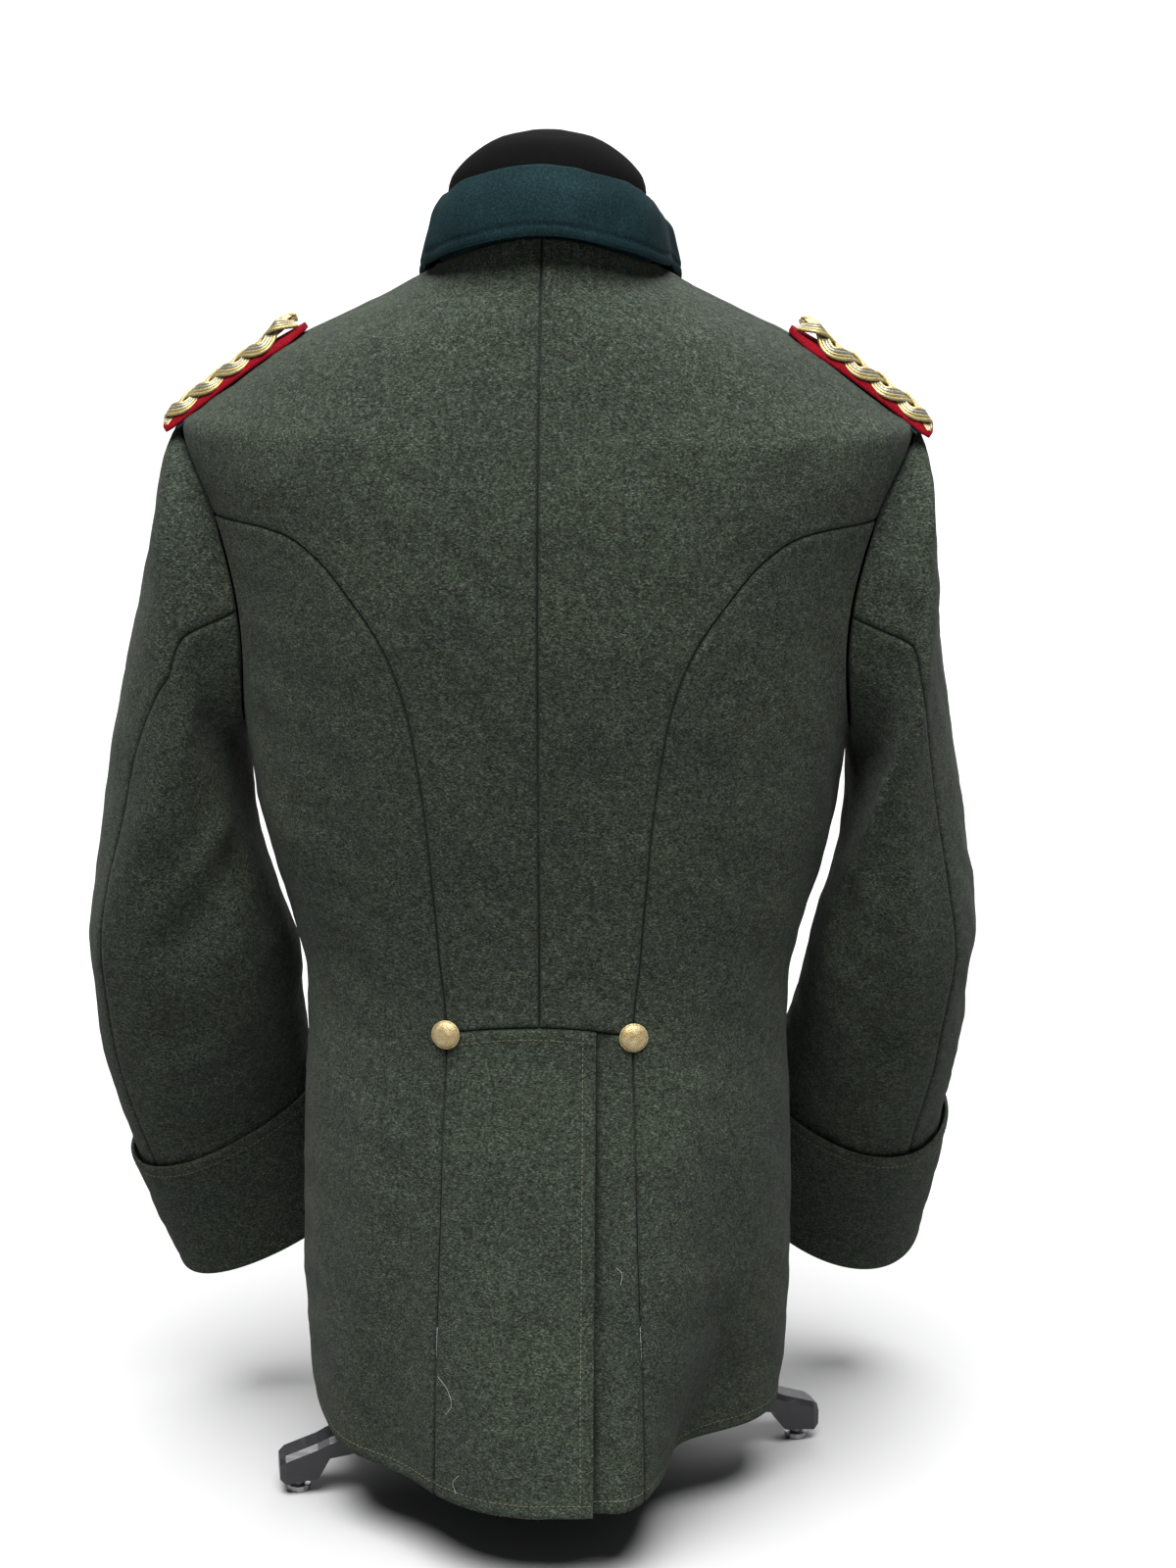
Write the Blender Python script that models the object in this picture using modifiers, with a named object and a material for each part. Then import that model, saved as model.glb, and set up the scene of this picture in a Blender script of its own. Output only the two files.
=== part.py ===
"""Field tunic of grey-green wool on a black dress form, in metres, +Z up.

The tunic faces +Y, so the wearer's right is +X and its back is seen from -Y.
Each cut piece is a cloth wall laid over one body surface or one sleeve tube.
"""
from math import atan2, copysign, cos, exp, pi, radians, sin, sqrt

import bmesh
import bpy
import numpy as np
from mathutils import Vector

CLOTH = 0.0020
GAP = 0.0003
LAP = CLOTH + 0.0006
BODY_CORNER = 2.35
SLEEVE_CORNER = 2.15

HEM_Z = 0.050
HEM_LIFT = 0.011
WAIST_Z = 0.362
WAIST_DIP = 0.006
SHOULDER_TIP_Z = 0.733
NECK_BACK_Z = 0.850
NECK_SIDE_Z = 0.833
NECK_FRONT_Z = 0.797
VENT_EDGE_X = 0.036
VENT_UNDER_X = -0.022
SIDE_BACK_HEM_X = 0.0690
TUCK_START = 0.003
TUCK_END = 0.017
FRONT_LAP_X = 0.030
FRONT_SEAM_HEM_DEG = 30.0
FRONT_COLUMNS = 5

# Body: height, half width, depth behind and before the side line, roundness of the back
BODY_ROWS = [
    (0.040, 0.156, 0.168, 0.138, 1.70),
    (0.100, 0.162, 0.157, 0.134, 1.85),
    (0.160, 0.164, 0.146, 0.130, 2.00),
    (0.220, 0.1635, 0.134, 0.127, 2.15),
    (0.280, 0.162, 0.122, 0.124, 2.30),
    (0.335, 0.1585, 0.110, 0.122, 2.35),
    (0.370, 0.1595, 0.106, 0.122, 2.35),
    (0.413, 0.170, 0.108, 0.127, 2.35),
    (0.480, 0.1875, 0.116, 0.138, 2.35),
    (0.530, 0.194, 0.122, 0.142, 2.35),
    (0.570, 0.199, 0.126, 0.144, 2.35),
    (0.620, 0.205, 0.130, 0.143, 2.35),
    (0.680, 0.2165, 0.1285, 0.134, 2.35),
    (0.733, 0.231, 0.119, 0.118, 2.35),
    (0.745, 0.2165, 0.115, 0.112, 2.35),
    (0.760, 0.195, 0.110, 0.104, 2.35),
    (0.775, 0.1745, 0.105, 0.095, 2.35),
    (0.785, 0.158, 0.101, 0.089, 2.35),
    (0.800, 0.127, 0.096, 0.080, 2.30),
    (0.812, 0.102, 0.091, 0.074, 2.25),
    (0.822, 0.084, 0.086, 0.069, 2.20),
    (0.829, 0.071, 0.082, 0.066, 2.15),
    (0.845, 0.060, 0.073, 0.060, 2.10),
    (0.862, 0.052, 0.064, 0.055, 2.10),
]

# Soft folds of the body: angle round the body, its half spread, middle height, half height,
# depth of the fold (hollows are negative)
BODY_FOLDS = [
    (-36.0, 18.0, 0.030, 0.110, -0.040),
    (-68.0, 9.0, 0.040, 0.130, 0.009),
    (-128.0, 12.0, 0.050, 0.100, -0.007),
    (-150.0, 10.0, 0.040, 0.100, 0.004),
    (-32.0, 9.0, 0.500, 0.070, 0.004),
    (-146.0, 9.0, 0.510, 0.080, 0.006),
    (-160.0, 9.0, 0.430, 0.060, -0.003),
    (38.0, 12.0, 0.060, 0.120, 0.007),
    (142.0, 12.0, 0.060, 0.120, 0.007),
    (60.0, 10.0, 0.050, 0.100, -0.005),
    (120.0, 10.0, 0.050, 0.100, -0.005),
]

# Back seams from the waist button up to the armhole: distance from the centre, height
PRINCESS_ROWS = [
    (0.0595, 0.356),
    (0.0625, 0.394),
    (0.0660, 0.440),
    (0.0695, 0.486),
    (0.0745, 0.529),
    (0.0820, 0.572),
    (0.0950, 0.608),
    (0.1150, 0.638),
    (0.1400, 0.666),
    (0.1680, 0.679),
]

# Rows of the back piece: row number, height where the row starts on the centre seam
BACK_CENTRE_ROWS = [(0, WAIST_Z), (5, 0.580), (10, 0.762), (14, 0.815), (19, NECK_BACK_Z)]

# Armhole from the shoulder tip down the back, under the arm and up the front: height, depth
ARMHOLE_ROWS = [
    (0.7330, 0.000),
    (0.7270, -0.018),
    (0.7120, -0.033),
    (0.6960, -0.042),
    (0.6800, -0.047),
    (0.6550, -0.053),
    (0.6250, -0.056),
    (0.5950, -0.053),
    (0.5680, -0.043),
    (0.5460, -0.026),
    (0.5340, -0.004),
    (0.5380, 0.018),
    (0.5520, 0.037),
    (0.5720, 0.050),
    (0.6000, 0.061),
    (0.6300, 0.067),
    (0.6600, 0.066),
    (0.6900, 0.056),
    (0.7120, 0.040),
    (0.7270, 0.021),
]
BACK_CORNER_ROW = 4
FRONT_CORNER_ROW = 13
ARMHOLE_MIDDLE = (0.634, 0.005)

# Left sleeve: outer line x y z, inner line x y z, half depth; x is the distance from the centre
LEFT_SLEEVE_ROWS = [
    (0.2385, 0.004, 0.7240, 0.1985, 0.006, 0.5260, 0.064),
    (0.2435, 0.006, 0.6970, 0.2010, 0.006, 0.5170, 0.068),
    (0.2510, 0.008, 0.6580, 0.2010, 0.008, 0.5040, 0.070),
    (0.2620, 0.009, 0.6190, 0.1990, 0.011, 0.4890, 0.070),
    (0.2740, 0.010, 0.5760, 0.1965, 0.016, 0.4700, 0.068),
    (0.2840, 0.010, 0.5320, 0.1925, 0.021, 0.4500, 0.065),
    (0.2925, 0.010, 0.4840, 0.1865, 0.027, 0.4270, 0.062),
    (0.3010, 0.012, 0.4340, 0.1790, 0.033, 0.4030, 0.059),
    (0.3075, 0.015, 0.3860, 0.1720, 0.040, 0.3780, 0.056),
    (0.3080, 0.023, 0.3420, 0.1700, 0.048, 0.3530, 0.054),
    (0.3055, 0.034, 0.2990, 0.1700, 0.058, 0.3300, 0.050),
    (0.2990, 0.045, 0.2560, 0.1700, 0.072, 0.3070, 0.046),
    (0.2905, 0.056, 0.2190, 0.1680, 0.088, 0.2840, 0.042),
    (0.2810, 0.068, 0.1820, 0.1605, 0.102, 0.2480, 0.040),
    (0.2715, 0.080, 0.1450, 0.1515, 0.115, 0.2085, 0.039),
    (0.2615, 0.091, 0.1120, 0.1420, 0.128, 0.1680, 0.038),
]

RIGHT_SLEEVE_ROWS = [
    (0.2365, 0.004, 0.7240, 0.1985, 0.006, 0.5260, 0.064),
    (0.2365, 0.006, 0.7000, 0.2010, 0.006, 0.5170, 0.068),
    (0.2420, 0.008, 0.6630, 0.2005, 0.008, 0.5040, 0.071),
    (0.2475, 0.009, 0.6230, 0.1985, 0.011, 0.4890, 0.072),
    (0.2540, 0.010, 0.5810, 0.1955, 0.015, 0.4710, 0.070),
    (0.2620, 0.010, 0.5370, 0.1915, 0.020, 0.4510, 0.067),
    (0.2690, 0.010, 0.4920, 0.1860, 0.026, 0.4280, 0.064),
    (0.2765, 0.011, 0.4420, 0.1795, 0.034, 0.4040, 0.062),
    (0.2824, 0.015, 0.3950, 0.1745, 0.043, 0.3800, 0.060),
    (0.2795, 0.024, 0.3550, 0.1715, 0.054, 0.3580, 0.058),
    (0.2765, 0.036, 0.3170, 0.1690, 0.068, 0.3370, 0.056),
    (0.2725, 0.051, 0.2800, 0.1650, 0.086, 0.3150, 0.054),
    (0.2660, 0.069, 0.2400, 0.1590, 0.106, 0.2870, 0.052),
    (0.2620, 0.090, 0.1980, 0.1550, 0.129, 0.2460, 0.051),
    (0.2580, 0.112, 0.1575, 0.1500, 0.151, 0.2060, 0.050),
    (0.2535, 0.134, 0.1160, 0.1450, 0.172, 0.1660, 0.050),
]

# Back seam of the sleeve: ring number, angle from the outer line
HIND_SEAM_ROWS = [(0, 104.0), (1, 100.0), (2, 96.0), (3, 90.0), (4, 76.0), (5, 62.0), (6, 51.0), (7, 43.0),
                  (8, 35.0), (9, 31.0), (16, 27.0)]
FOREARM_SEAM_DEG = -132.0

# Sleeve folds: angle, half spread, ring, half length in rings, lean in degrees a ring, depth
LEFT_SLEEVE_FOLDS = [
    (60.0, 14.0, 7.0, 2.2, -14.0, 0.0055),
    (92.0, 14.0, 7.4, 2.2, -12.0, -0.0060),
    (120.0, 20.0, 8.6, 1.0, 0.0, 0.0050),
    (75.0, 18.0, 10.4, 0.9, 0.0, -0.0050),
    (60.0, 26.0, 4.4, 0.8, -6.0, -0.0025),
    (-60.0, 16.0, 8.4, 1.0, 10.0, -0.0060),
    (-75.0, 18.0, 9.6, 0.9, 8.0, 0.0050),
    (-110.0, 18.0, 8.4, 0.9, 0.0, -0.0055),
    (-70.0, 20.0, 5.5, 1.2, 8.0, 0.0040),
]
RIGHT_SLEEVE_FOLDS = [
    (72.0, 13.0, 6.5, 3.4, -2.0, 0.0060),
    (100.0, 14.0, 6.8, 3.2, -2.0, -0.0075),
    (130.0, 14.0, 7.2, 2.6, 0.0, 0.0035),
    (70.0, 20.0, 10.6, 0.9, 0.0, -0.0050),
    (-60.0, 16.0, 8.6, 1.0, 10.0, -0.0060),
    (-78.0, 18.0, 9.8, 0.9, 8.0, 0.0050),
    (-105.0, 18.0, 8.6, 0.9, 0.0, -0.0050),
    (-72.0, 20.0, 5.2, 1.2, 8.0, 0.0040),
]

CUFF_FIRST_RING = 13.3
CUFF_FLARE = 0.0025
SLEEVE_HEAD_INSET = 0.0016
SLEEVE_HEAD_LIFT = 0.0004

# Collar at the back, side and front: fold rise, fold out, fall drop, fall out
COLLAR_ROWS = [
    (-90.0, 0.0490, 0.000, -0.0115, 0.0190),
    (-45.0, 0.0450, -0.003, -0.0070, 0.0095),
    (-15.0, 0.0410, -0.0035, -0.0008, 0.0045),
    (0.0, 0.0400, -0.0035, 0.0000, 0.0042),
    (45.0, 0.0390, -0.006, 0.0022, 0.0100),
    (70.0, 0.0380, -0.006, 0.0160, 0.0190),
    (87.0, 0.0360, -0.004, 0.0300, 0.0265),
]
COLLAR_END_DEG = 87.0
COLLAR_CLEAR = 0.0008
COLLAR_STATIONS = 11

# Shoulder board over the ridge: distance from the centre, height of the cloth below it
BOARD_ROWS = [(0.151, 0.7886), (0.175, 0.7747), (0.200, 0.7570), (0.222, 0.7405), (0.240, 0.7267)]
BOARD_HALF_WIDTH = 0.0235
BOARD_ARCH = 0.0015
BOARD_LIFT = 0.0025
BOARD_THICK = 0.0042
BRAID_HALF_WIDTH = 0.0190
BRAID_SLAB = 0.0022
BRAID_CORD = 0.0032
BRAID_LOOPS = 4.0
BRAID_START = 0.04
BRAID_LENGTH = 0.92
STRAND_HALF_WIDTH = 0.24
LOOP_LIFT = 0.0006
LOOP_THICK = 0.0012
LOOP_HALF_WIDTH = 0.0272
BOARD_BUTTON_ALONG = 0.115

BUTTON_RADIUS = 0.0092
BUTTON_RISE = 0.0050
BOARD_BUTTON_RADIUS = 0.0070
FRONT_BUTTON_Z = [0.765, 0.690, 0.612, 0.534, 0.456, 0.372]
WAIST_BUTTON = (0.0595, 0.356)
BUTTON_LIFT = 0.0008
WAIST_BUTTON_LIFT = 0.0012

FORM_BOTTOM_Z = 0.170
NECK_TOP_Z = 0.9145
# Dress form: height, distance from the cloth's outer face
FORM_ROWS = [(0.17, 0.020), (0.30, 0.012), (0.45, 0.010), (0.60, 0.012), (0.68, 0.0115), (0.72, 0.0065),
             (0.74, 0.0046), (0.81, 0.0038)]
FORM_FRONT_EASE = 0.0030
# Neck of the form: height, half width, depth behind, depth before
NECK_ROWS = [
    (0.826, 0.0630, 0.0660, 0.0600),
    (0.840, 0.0590, 0.0570, 0.0555),
    (0.862, 0.0580, 0.0550, 0.0540),
    (0.880, 0.0575, 0.0545, 0.0535),
    (0.890, 0.0540, 0.0515, 0.0505),
    (0.900, 0.0475, 0.0455, 0.0450),
    (0.908, 0.0380, 0.0365, 0.0360),
    (0.9125, 0.0240, 0.0230, 0.0230),
]

# Arms of the base: name, heading in degrees, distance of the foot
BASE_ARMS = [("right", 20.5, 0.185), ("left", 190.5, 0.172), ("front", 107.0, 0.165), ("rear", -83.0, 0.062)]
LEG_END = 0.013
LEG_HALF_WIDTH = 0.0120
LEG_ROOT_HALF_WIDTH = 0.0155
LEG_ROOT_TOP_Z = 0.080
LEG_ROOT_UNDER_Z = 0.046
LEG_MID_TOP_Z = 0.040
LEG_MID_UNDER_Z = 0.026
LEG_TOP_Z = 0.028
SOCKET_UNDER_Z = 0.008
SOCKET_LENGTH = 0.026
LEG_BEVEL = 0.0035
SCREW_RADIUS = 0.0045
FOOT_RADIUS = 0.0080
FOOT_THICK = 0.0035
HUB_RIM = 0.004
HUB_RADIUS = 0.030
POLE_RADIUS = 0.0150

OBJECT_NAME = "field_tunic_on_dress_form"


def fresh_collection():
    """An empty scene with one collection for the object."""
    for old in list(bpy.data.objects):
        bpy.data.objects.remove(old, do_unlink=True)
    group = bpy.data.collections.new(OBJECT_NAME)
    bpy.context.scene.collection.children.link(group)
    return group


def make_material(name, colour, roughness, metallic=0.0):
    """A plain principled material."""
    made = bpy.data.materials.new(name)
    made.use_nodes = True
    shader = made.node_tree.nodes["Principled BSDF"]
    shader.inputs["Base Color"].default_value = (*colour, 1.0)
    shader.inputs["Roughness"].default_value = roughness
    shader.inputs["Metallic"].default_value = metallic
    return made


def read_rows(rows, at):
    """The columns of a table at a value of its first column, on smooth curves that never overshoot."""
    table = np.array(rows, dtype=float)
    keys = table[:, 0]
    at = float(min(max(at, keys[0]), keys[-1]))
    low = int(min(max(np.searchsorted(keys, at, side="right") - 1, 0), len(keys) - 2))
    gaps = np.diff(keys)[:, None]
    rises = np.diff(table, axis=0) / gaps
    slopes = np.vstack([rises[:1], np.zeros_like(rises[1:]), rises[-1:]])
    same = rises[:-1] * rises[1:] > 0
    mean = 0.5 * (rises[:-1] + rises[1:])
    slopes[1:-1][same] = (rises[:-1][same] * rises[1:][same]) / mean[same]
    step = keys[low + 1] - keys[low]
    t = (at - keys[low]) / step
    start = table[low] * (1 + 2 * t) * (1 - t) ** 2 + slopes[low] * step * t * (1 - t) ** 2
    end = table[low + 1] * t * t * (3 - 2 * t) + slopes[low + 1] * step * t * t * (t - 1)
    return (start + end)[1:]


def bell(distance, spread):
    """A soft bump that is 1 in the middle and fades over the spread."""
    return exp(-(distance / spread) ** 2)


def turn_between(angle, middle):
    """The signed difference of two angles in degrees, the short way round."""
    return (angle - middle + 180.0) % 360.0 - 180.0


def body_point(phi, z):
    """A point of the tunic's outer face: phi is 0 at the right side and -pi/2 at the back."""
    half_width, behind, before, roundness = read_rows(BODY_ROWS, z)
    corner = roundness if sin(phi) < 0 else BODY_CORNER
    depth = behind if sin(phi) < 0 else before
    reach = (abs(cos(phi)) ** corner + abs(sin(phi)) ** corner) ** (-1.0 / corner)
    swell = 0.0
    for angle, spread, middle, half_height, amount in BODY_FOLDS:
        turn = turn_between(phi * 180.0 / pi, angle)
        swell += amount * bell(turn, spread) * bell(z - middle, half_height)
    plain = Vector((half_width * reach * cos(phi), depth * reach * sin(phi), 0.0))
    return plain + plain.normalized() * swell + Vector((0.0, 0.0, z))


def phi_at_x(x, z, back=True):
    """The angle where the body surface at this height is x from the centre."""
    half_width, behind, before, roundness = read_rows(BODY_ROWS, z)
    corner = roundness if back else BODY_CORNER
    across = min(abs(x) / half_width, 1.0)
    along = (1.0 - across ** corner) ** (1.0 / corner)
    return atan2(-along if back else along, copysign(across, x))


def phi_at_y(y, z):
    """The angle on the right side where the body surface at this height is at depth y."""
    half_width, behind, before, roundness = read_rows(BODY_ROWS, z)
    corner = roundness if y < 0 else BODY_CORNER
    along = min(abs(y) / (behind if y < 0 else before), 1.0)
    across = (1.0 - along ** corner) ** (1.0 / corner)
    return atan2(copysign(along, y), across)


def surface_frame(surface, u, v):
    """The point, its two slopes and its unit normal away from the middle."""
    step = 0.0005
    point = surface(u, v)
    slope_u = (surface(u + step, v) - surface(u - step, v)) / (2 * step)
    slope_v = (surface(u, v + step) - surface(u, v - step)) / (2 * step)
    normal = slope_u.cross(slope_v).normalized()
    return point, slope_u, slope_v, normal


def nudge(surface, grid, row, column, neighbour, inner, amount):
    """The change of (u, v) that moves a border node into its piece by the amount."""
    u, v = grid[row][column]
    point, slope_u, slope_v, normal = surface_frame(surface, u, v)
    along = surface(*neighbour[1]) - surface(*neighbour[0])
    inward = normal.cross(along).normalized()
    if inward.dot(surface(*inner) - point) < 0:
        inward = -inward
    matrix = np.array([[slope_u[k], slope_v[k]] for k in range(3)])
    change = np.linalg.lstsq(matrix, np.array(inward * amount), rcond=None)[0]
    return float(change[0]), float(change[1])


def seam_allowed(surface, grid, closed=False):
    """The grid with its border drawn in by half the gap between two sewn pieces."""
    rows, columns = len(grid), len(grid[0])
    moved = [[list(node) for node in line] for line in grid]
    for column in range(columns):
        before = grid[0][max(column - 1, 0)], grid[0][min(column + 1, columns - 1)]
        after = grid[-1][max(column - 1, 0)], grid[-1][min(column + 1, columns - 1)]
        for row, ends, inner in ((0, before, grid[1][column]), (rows - 1, after, grid[-2][column])):
            change = nudge(surface, grid, row, column, ends, inner, GAP / 2)
            moved[row][column][0] += change[0]
            moved[row][column][1] += change[1]
    if closed:
        return moved
    for row in range(rows):
        up, down = max(row - 1, 0), min(row + 1, rows - 1)
        left = grid[up][0], grid[down][0]
        right = grid[up][-1], grid[down][-1]
        for column, ends, inner in ((0, left, grid[row][1]), (columns - 1, right, grid[row][-2])):
            change = nudge(surface, grid, row, column, ends, inner, GAP / 2)
            moved[row][column][0] += change[0]
            moved[row][column][1] += change[1]
    return moved


def close_wall(name, outer, inner, material, closed=False):
    """A closed solid between an outer and an inner grid of points."""
    rows, columns = len(outer), len(outer[0])
    mesh = bmesh.new()
    top, under = [[[mesh.verts.new(point) for point in line] for line in grid] for grid in (outer, inner)]
    spans = columns if closed else columns - 1
    for row in range(rows - 1):
        for column in range(spans):
            after = (column + 1) % columns
            quads = [(side[row][column], side[row][after], side[row + 1][after], side[row + 1][column])
                     for side in (top, under)]
            a, b, c, d = quads[0]
            split = (0, 1, 2), (0, 2, 3)
            if (b.co - d.co).length < (a.co - c.co).length:
                split = (0, 1, 3), (1, 2, 3)
            for quad in quads:
                for corners in split:
                    mesh.faces.new([quad[k] for k in corners])
    for row in (0, rows - 1):
        for column in range(spans):
            after = (column + 1) % columns
            mesh.faces.new((top[row][column], under[row][column], under[row][after], top[row][after]))
    if not closed:
        for column in (0, columns - 1):
            for row in range(rows - 1):
                mesh.faces.new((top[row][column], top[row + 1][column],
                                under[row + 1][column], under[row][column]))
    bmesh.ops.recalc_face_normals(mesh, faces=mesh.faces)
    return place_mesh(name, mesh, material)


def place_mesh(name, mesh, material):
    """A named object from a bmesh, with its faces turned outwards."""
    if mesh.calc_volume(signed=True) < 0:
        bmesh.ops.reverse_faces(mesh, faces=mesh.faces)
    data = bpy.data.meshes.new(name)
    mesh.to_mesh(data)
    mesh.free()
    data.shade_smooth()
    data.set_sharp_from_angle(angle=radians(40))
    data.materials.append(material)
    made = bpy.data.objects.new(name, data)
    bpy.data.collections[OBJECT_NAME].objects.link(made)
    return made


def cloth_piece(name, surface, grid, material, mirrored=False, closed=False, thick=CLOTH):
    """A cloth wall on a surface: the outer face follows it and the inner face lies one cloth inside."""
    outer, inner = [], []
    for line in seam_allowed(surface, grid, closed):
        outer.append([])
        inner.append([])
        for u, v in line:
            point, slope_u, slope_v, normal = surface_frame(surface, u, v)
            low = point - normal * thick
            if mirrored:
                point = Vector((-point.x, point.y, point.z))
                low = Vector((-low.x, low.y, low.z))
            outer[-1].append(point)
            inner[-1].append(low)
    return close_wall(name, outer, inner, material, closed)


def fill_patch(left, right, bottom, top):
    """A grid of (u, v) nodes inside four border lines that share their corners."""
    rows, columns = len(left), len(bottom)
    grid = []
    for row in range(rows):
        t = row / (rows - 1)
        line = []
        for column in range(columns):
            s = column / (columns - 1)
            node = []
            for k in (0, 1):
                across = left[row][k] * (1 - s) + right[row][k] * s
                upward = bottom[column][k] * (1 - t) + top[column][k] * t
                corners = ((left[0][k] * (1 - s) + right[0][k] * s) * (1 - t)
                           + (left[-1][k] * (1 - s) + right[-1][k] * s) * t)
                node.append(across + upward - corners)
            line.append(tuple(node))
        grid.append(line)
    return grid


def steps(start, end, count):
    """Evenly spaced values from start to end, with count gaps."""
    return [start + (end - start) * i / count for i in range(count + 1)]


def line_between(start, end, count):
    """Evenly spaced (u, v) nodes on the straight line between two nodes."""
    return [(start[0] + (end[0] - start[0]) * i / count, start[1] + (end[1] - start[1]) * i / count)
            for i in range(count + 1)]


def neck_height(phi):
    """The height of the neckline round the body."""
    rise = NECK_BACK_Z - NECK_SIDE_Z if sin(phi) < 0 else NECK_FRONT_Z - NECK_SIDE_Z
    return NECK_SIDE_Z + rise * sin(phi) ** 2


def hem_height(phi):
    """The height of the hem, which lifts a little over the hips."""
    return HEM_Z + HEM_LIFT * cos(phi) ** 2


def side_back_x(z):
    """The side-back seam of the skirt: distance from the centre."""
    top_x, top_z = PRINCESS_ROWS[0]
    return top_x + (SIDE_BACK_HEM_X - top_x) * (top_z - z) / (top_z - HEM_Z)


def hem_node(x, back=True):
    """The hem node that is x from the centre."""
    z = HEM_Z
    for _ in range(4):
        phi = phi_at_x(x, z, back)
        z = hem_height(phi)
    return (phi, z)


def side_back_seam():
    """Nodes of the side-back seam from the hem up to the waist button."""
    start = hem_node(side_back_x(HEM_Z))[1]
    heights = steps(start, PRINCESS_ROWS[0][1], 6)
    return [(phi_at_x(side_back_x(z), z), z) for z in heights]


def armhole_nodes(first, last):
    """Armhole nodes from one row of the table to another."""
    rows = ARMHOLE_ROWS + ARMHOLE_ROWS[:1]
    return [(phi_at_y(depth, z) if depth else 0.0, z) for z, depth in rows[first:last + 1]]


def princess_seam():
    """Nodes of the curved back seam from the waist button to the armhole."""
    nodes = [(phi_at_x(x, z), z) for x, z in PRINCESS_ROWS]
    return nodes + armhole_nodes(BACK_CORNER_ROW, BACK_CORNER_ROW)


def ridge_nodes():
    """Nodes of the shoulder seam from the tip to the neck."""
    return [(0.0, z) for z in steps(SHOULDER_TIP_Z, NECK_SIDE_Z, 5)]


def neckline(start, end, count):
    """Nodes of the neckline between two angles."""
    return [(phi, neck_height(phi)) for phi in steps(start, end, count)]


def front_seam():
    """Nodes of the seam between side and front, from the hem to the armhole."""
    top = armhole_nodes(FRONT_CORNER_ROW, FRONT_CORNER_ROW)[0]
    low_phi = radians(FRONT_SEAM_HEM_DEG)
    return line_between((low_phi, hem_height(low_phi)), top, len(side_back_seam()) + len(princess_seam()) - 2)


def waist_node(x):
    """The waist seam node that is x from the centre; the seam dips to the two buttons."""
    z = WAIST_Z - WAIST_DIP * (abs(x) / WAIST_BUTTON[0]) ** 2
    return (phi_at_x(x, z), z)


def back_grid():
    """The right back piece: centre seam, waist, curved seam, armhole, shoulder and neck."""
    outside = princess_seam() + armhole_nodes(0, BACK_CORNER_ROW)[::-1][1:] + ridge_nodes()[1:]
    waist = [waist_node(x) for x in steps(0.0, WAIST_BUTTON[0], 6)]
    centre = [(-pi / 2, float(read_rows(BACK_CENTRE_ROWS, row)[0])) for row in range(len(outside))]
    neck = neckline(-pi / 2, 0.0, 6)
    return fill_patch(centre, outside, waist, neck)


def side_grid():
    """The right side piece: side-back seam, hem, front seam and the underarm."""
    back = side_back_seam() + princess_seam()[1:]
    front = front_seam()
    underarm = armhole_nodes(BACK_CORNER_ROW, FRONT_CORNER_ROW)
    hem = [(phi, hem_height(phi)) for phi in steps(back[0][0], front[0][0], len(underarm) - 1)]
    return fill_patch(back, front, hem, underarm)


def front_line(x, count):
    """Nodes from the hem to the neckline along the front, x from the centre."""
    nodes = []
    for i in range(count + 1):
        t = i / count
        z = HEM_Z * (1 - t) + NECK_FRONT_Z * t
        for _ in range(4):
            phi = phi_at_x(x, z, back=False)
            z = hem_height(phi) * (1 - t) + neck_height(phi) * t
        nodes.append((phi, z))
    return nodes


def front_grid():
    """A front piece: outside of the lap line a patch, then the lap as far as its edge."""
    outside = front_seam() + armhole_nodes(FRONT_CORNER_ROW, len(ARMHOLE_ROWS))[1:] + ridge_nodes()[1:]
    count = len(outside) - 1
    lap_line = front_line(FRONT_LAP_X, count)
    hem = [(phi, hem_height(phi)) for phi in steps(outside[0][0], lap_line[0][0], FRONT_COLUMNS)]
    neck = neckline(0.0, lap_line[-1][0], FRONT_COLUMNS)
    main = fill_patch(outside, lap_line, hem, neck)
    centre = front_line(0.0, count)
    edge = front_line(-FRONT_LAP_X, count)
    return [line + [centre[row], edge[row]] for row, line in enumerate(main)]


def skirt_grid(side_sign, to_x, columns):
    """A back skirt piece from the side-back seam to an edge beyond the centre."""
    seam = side_back_seam()
    side = seam if side_sign > 0 else [(-pi - phi, z) for phi, z in seam]
    hem = [hem_node(x) for x in steps(side_sign * side_back_x(HEM_Z), to_x, columns)]
    hem[0] = side[0]
    top = [waist_node(x) for x in steps(side_sign * WAIST_BUTTON[0], to_x, columns)]
    top[0] = side[-1]
    heights = steps(hem[-1][1], top[-1][1], len(seam) - 1)
    edge = [(phi_at_x(to_x, z), z) for z in heights]
    return fill_patch(side, edge, hem, top)


def tucked(surface, depth_at):
    """The surface moved inwards by a depth that depends on the node."""
    def moved(u, v):
        point, slope_u, slope_v, normal = surface_frame(surface, u, v)
        return point - normal * depth_at(u, v)
    return moved


def ease(value, start, end):
    """A smooth step from 0 at start to 1 at end."""
    t = min(max((value - start) / (end - start), 0.0), 1.0)
    return t * t * (3 - 2 * t)


def under_vent(phi, z):
    """How deep the under flap lies below the lapping flap."""
    return LAP * (1.0 - ease(body_point(phi, z).x, VENT_EDGE_X + TUCK_START, VENT_EDGE_X + TUCK_END))


def under_front(phi, z):
    """How deep the right front lies below the left front."""
    return LAP * (1.0 - ease(body_point(phi, z).x, FRONT_LAP_X + TUCK_START, FRONT_LAP_X + TUCK_END))


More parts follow.
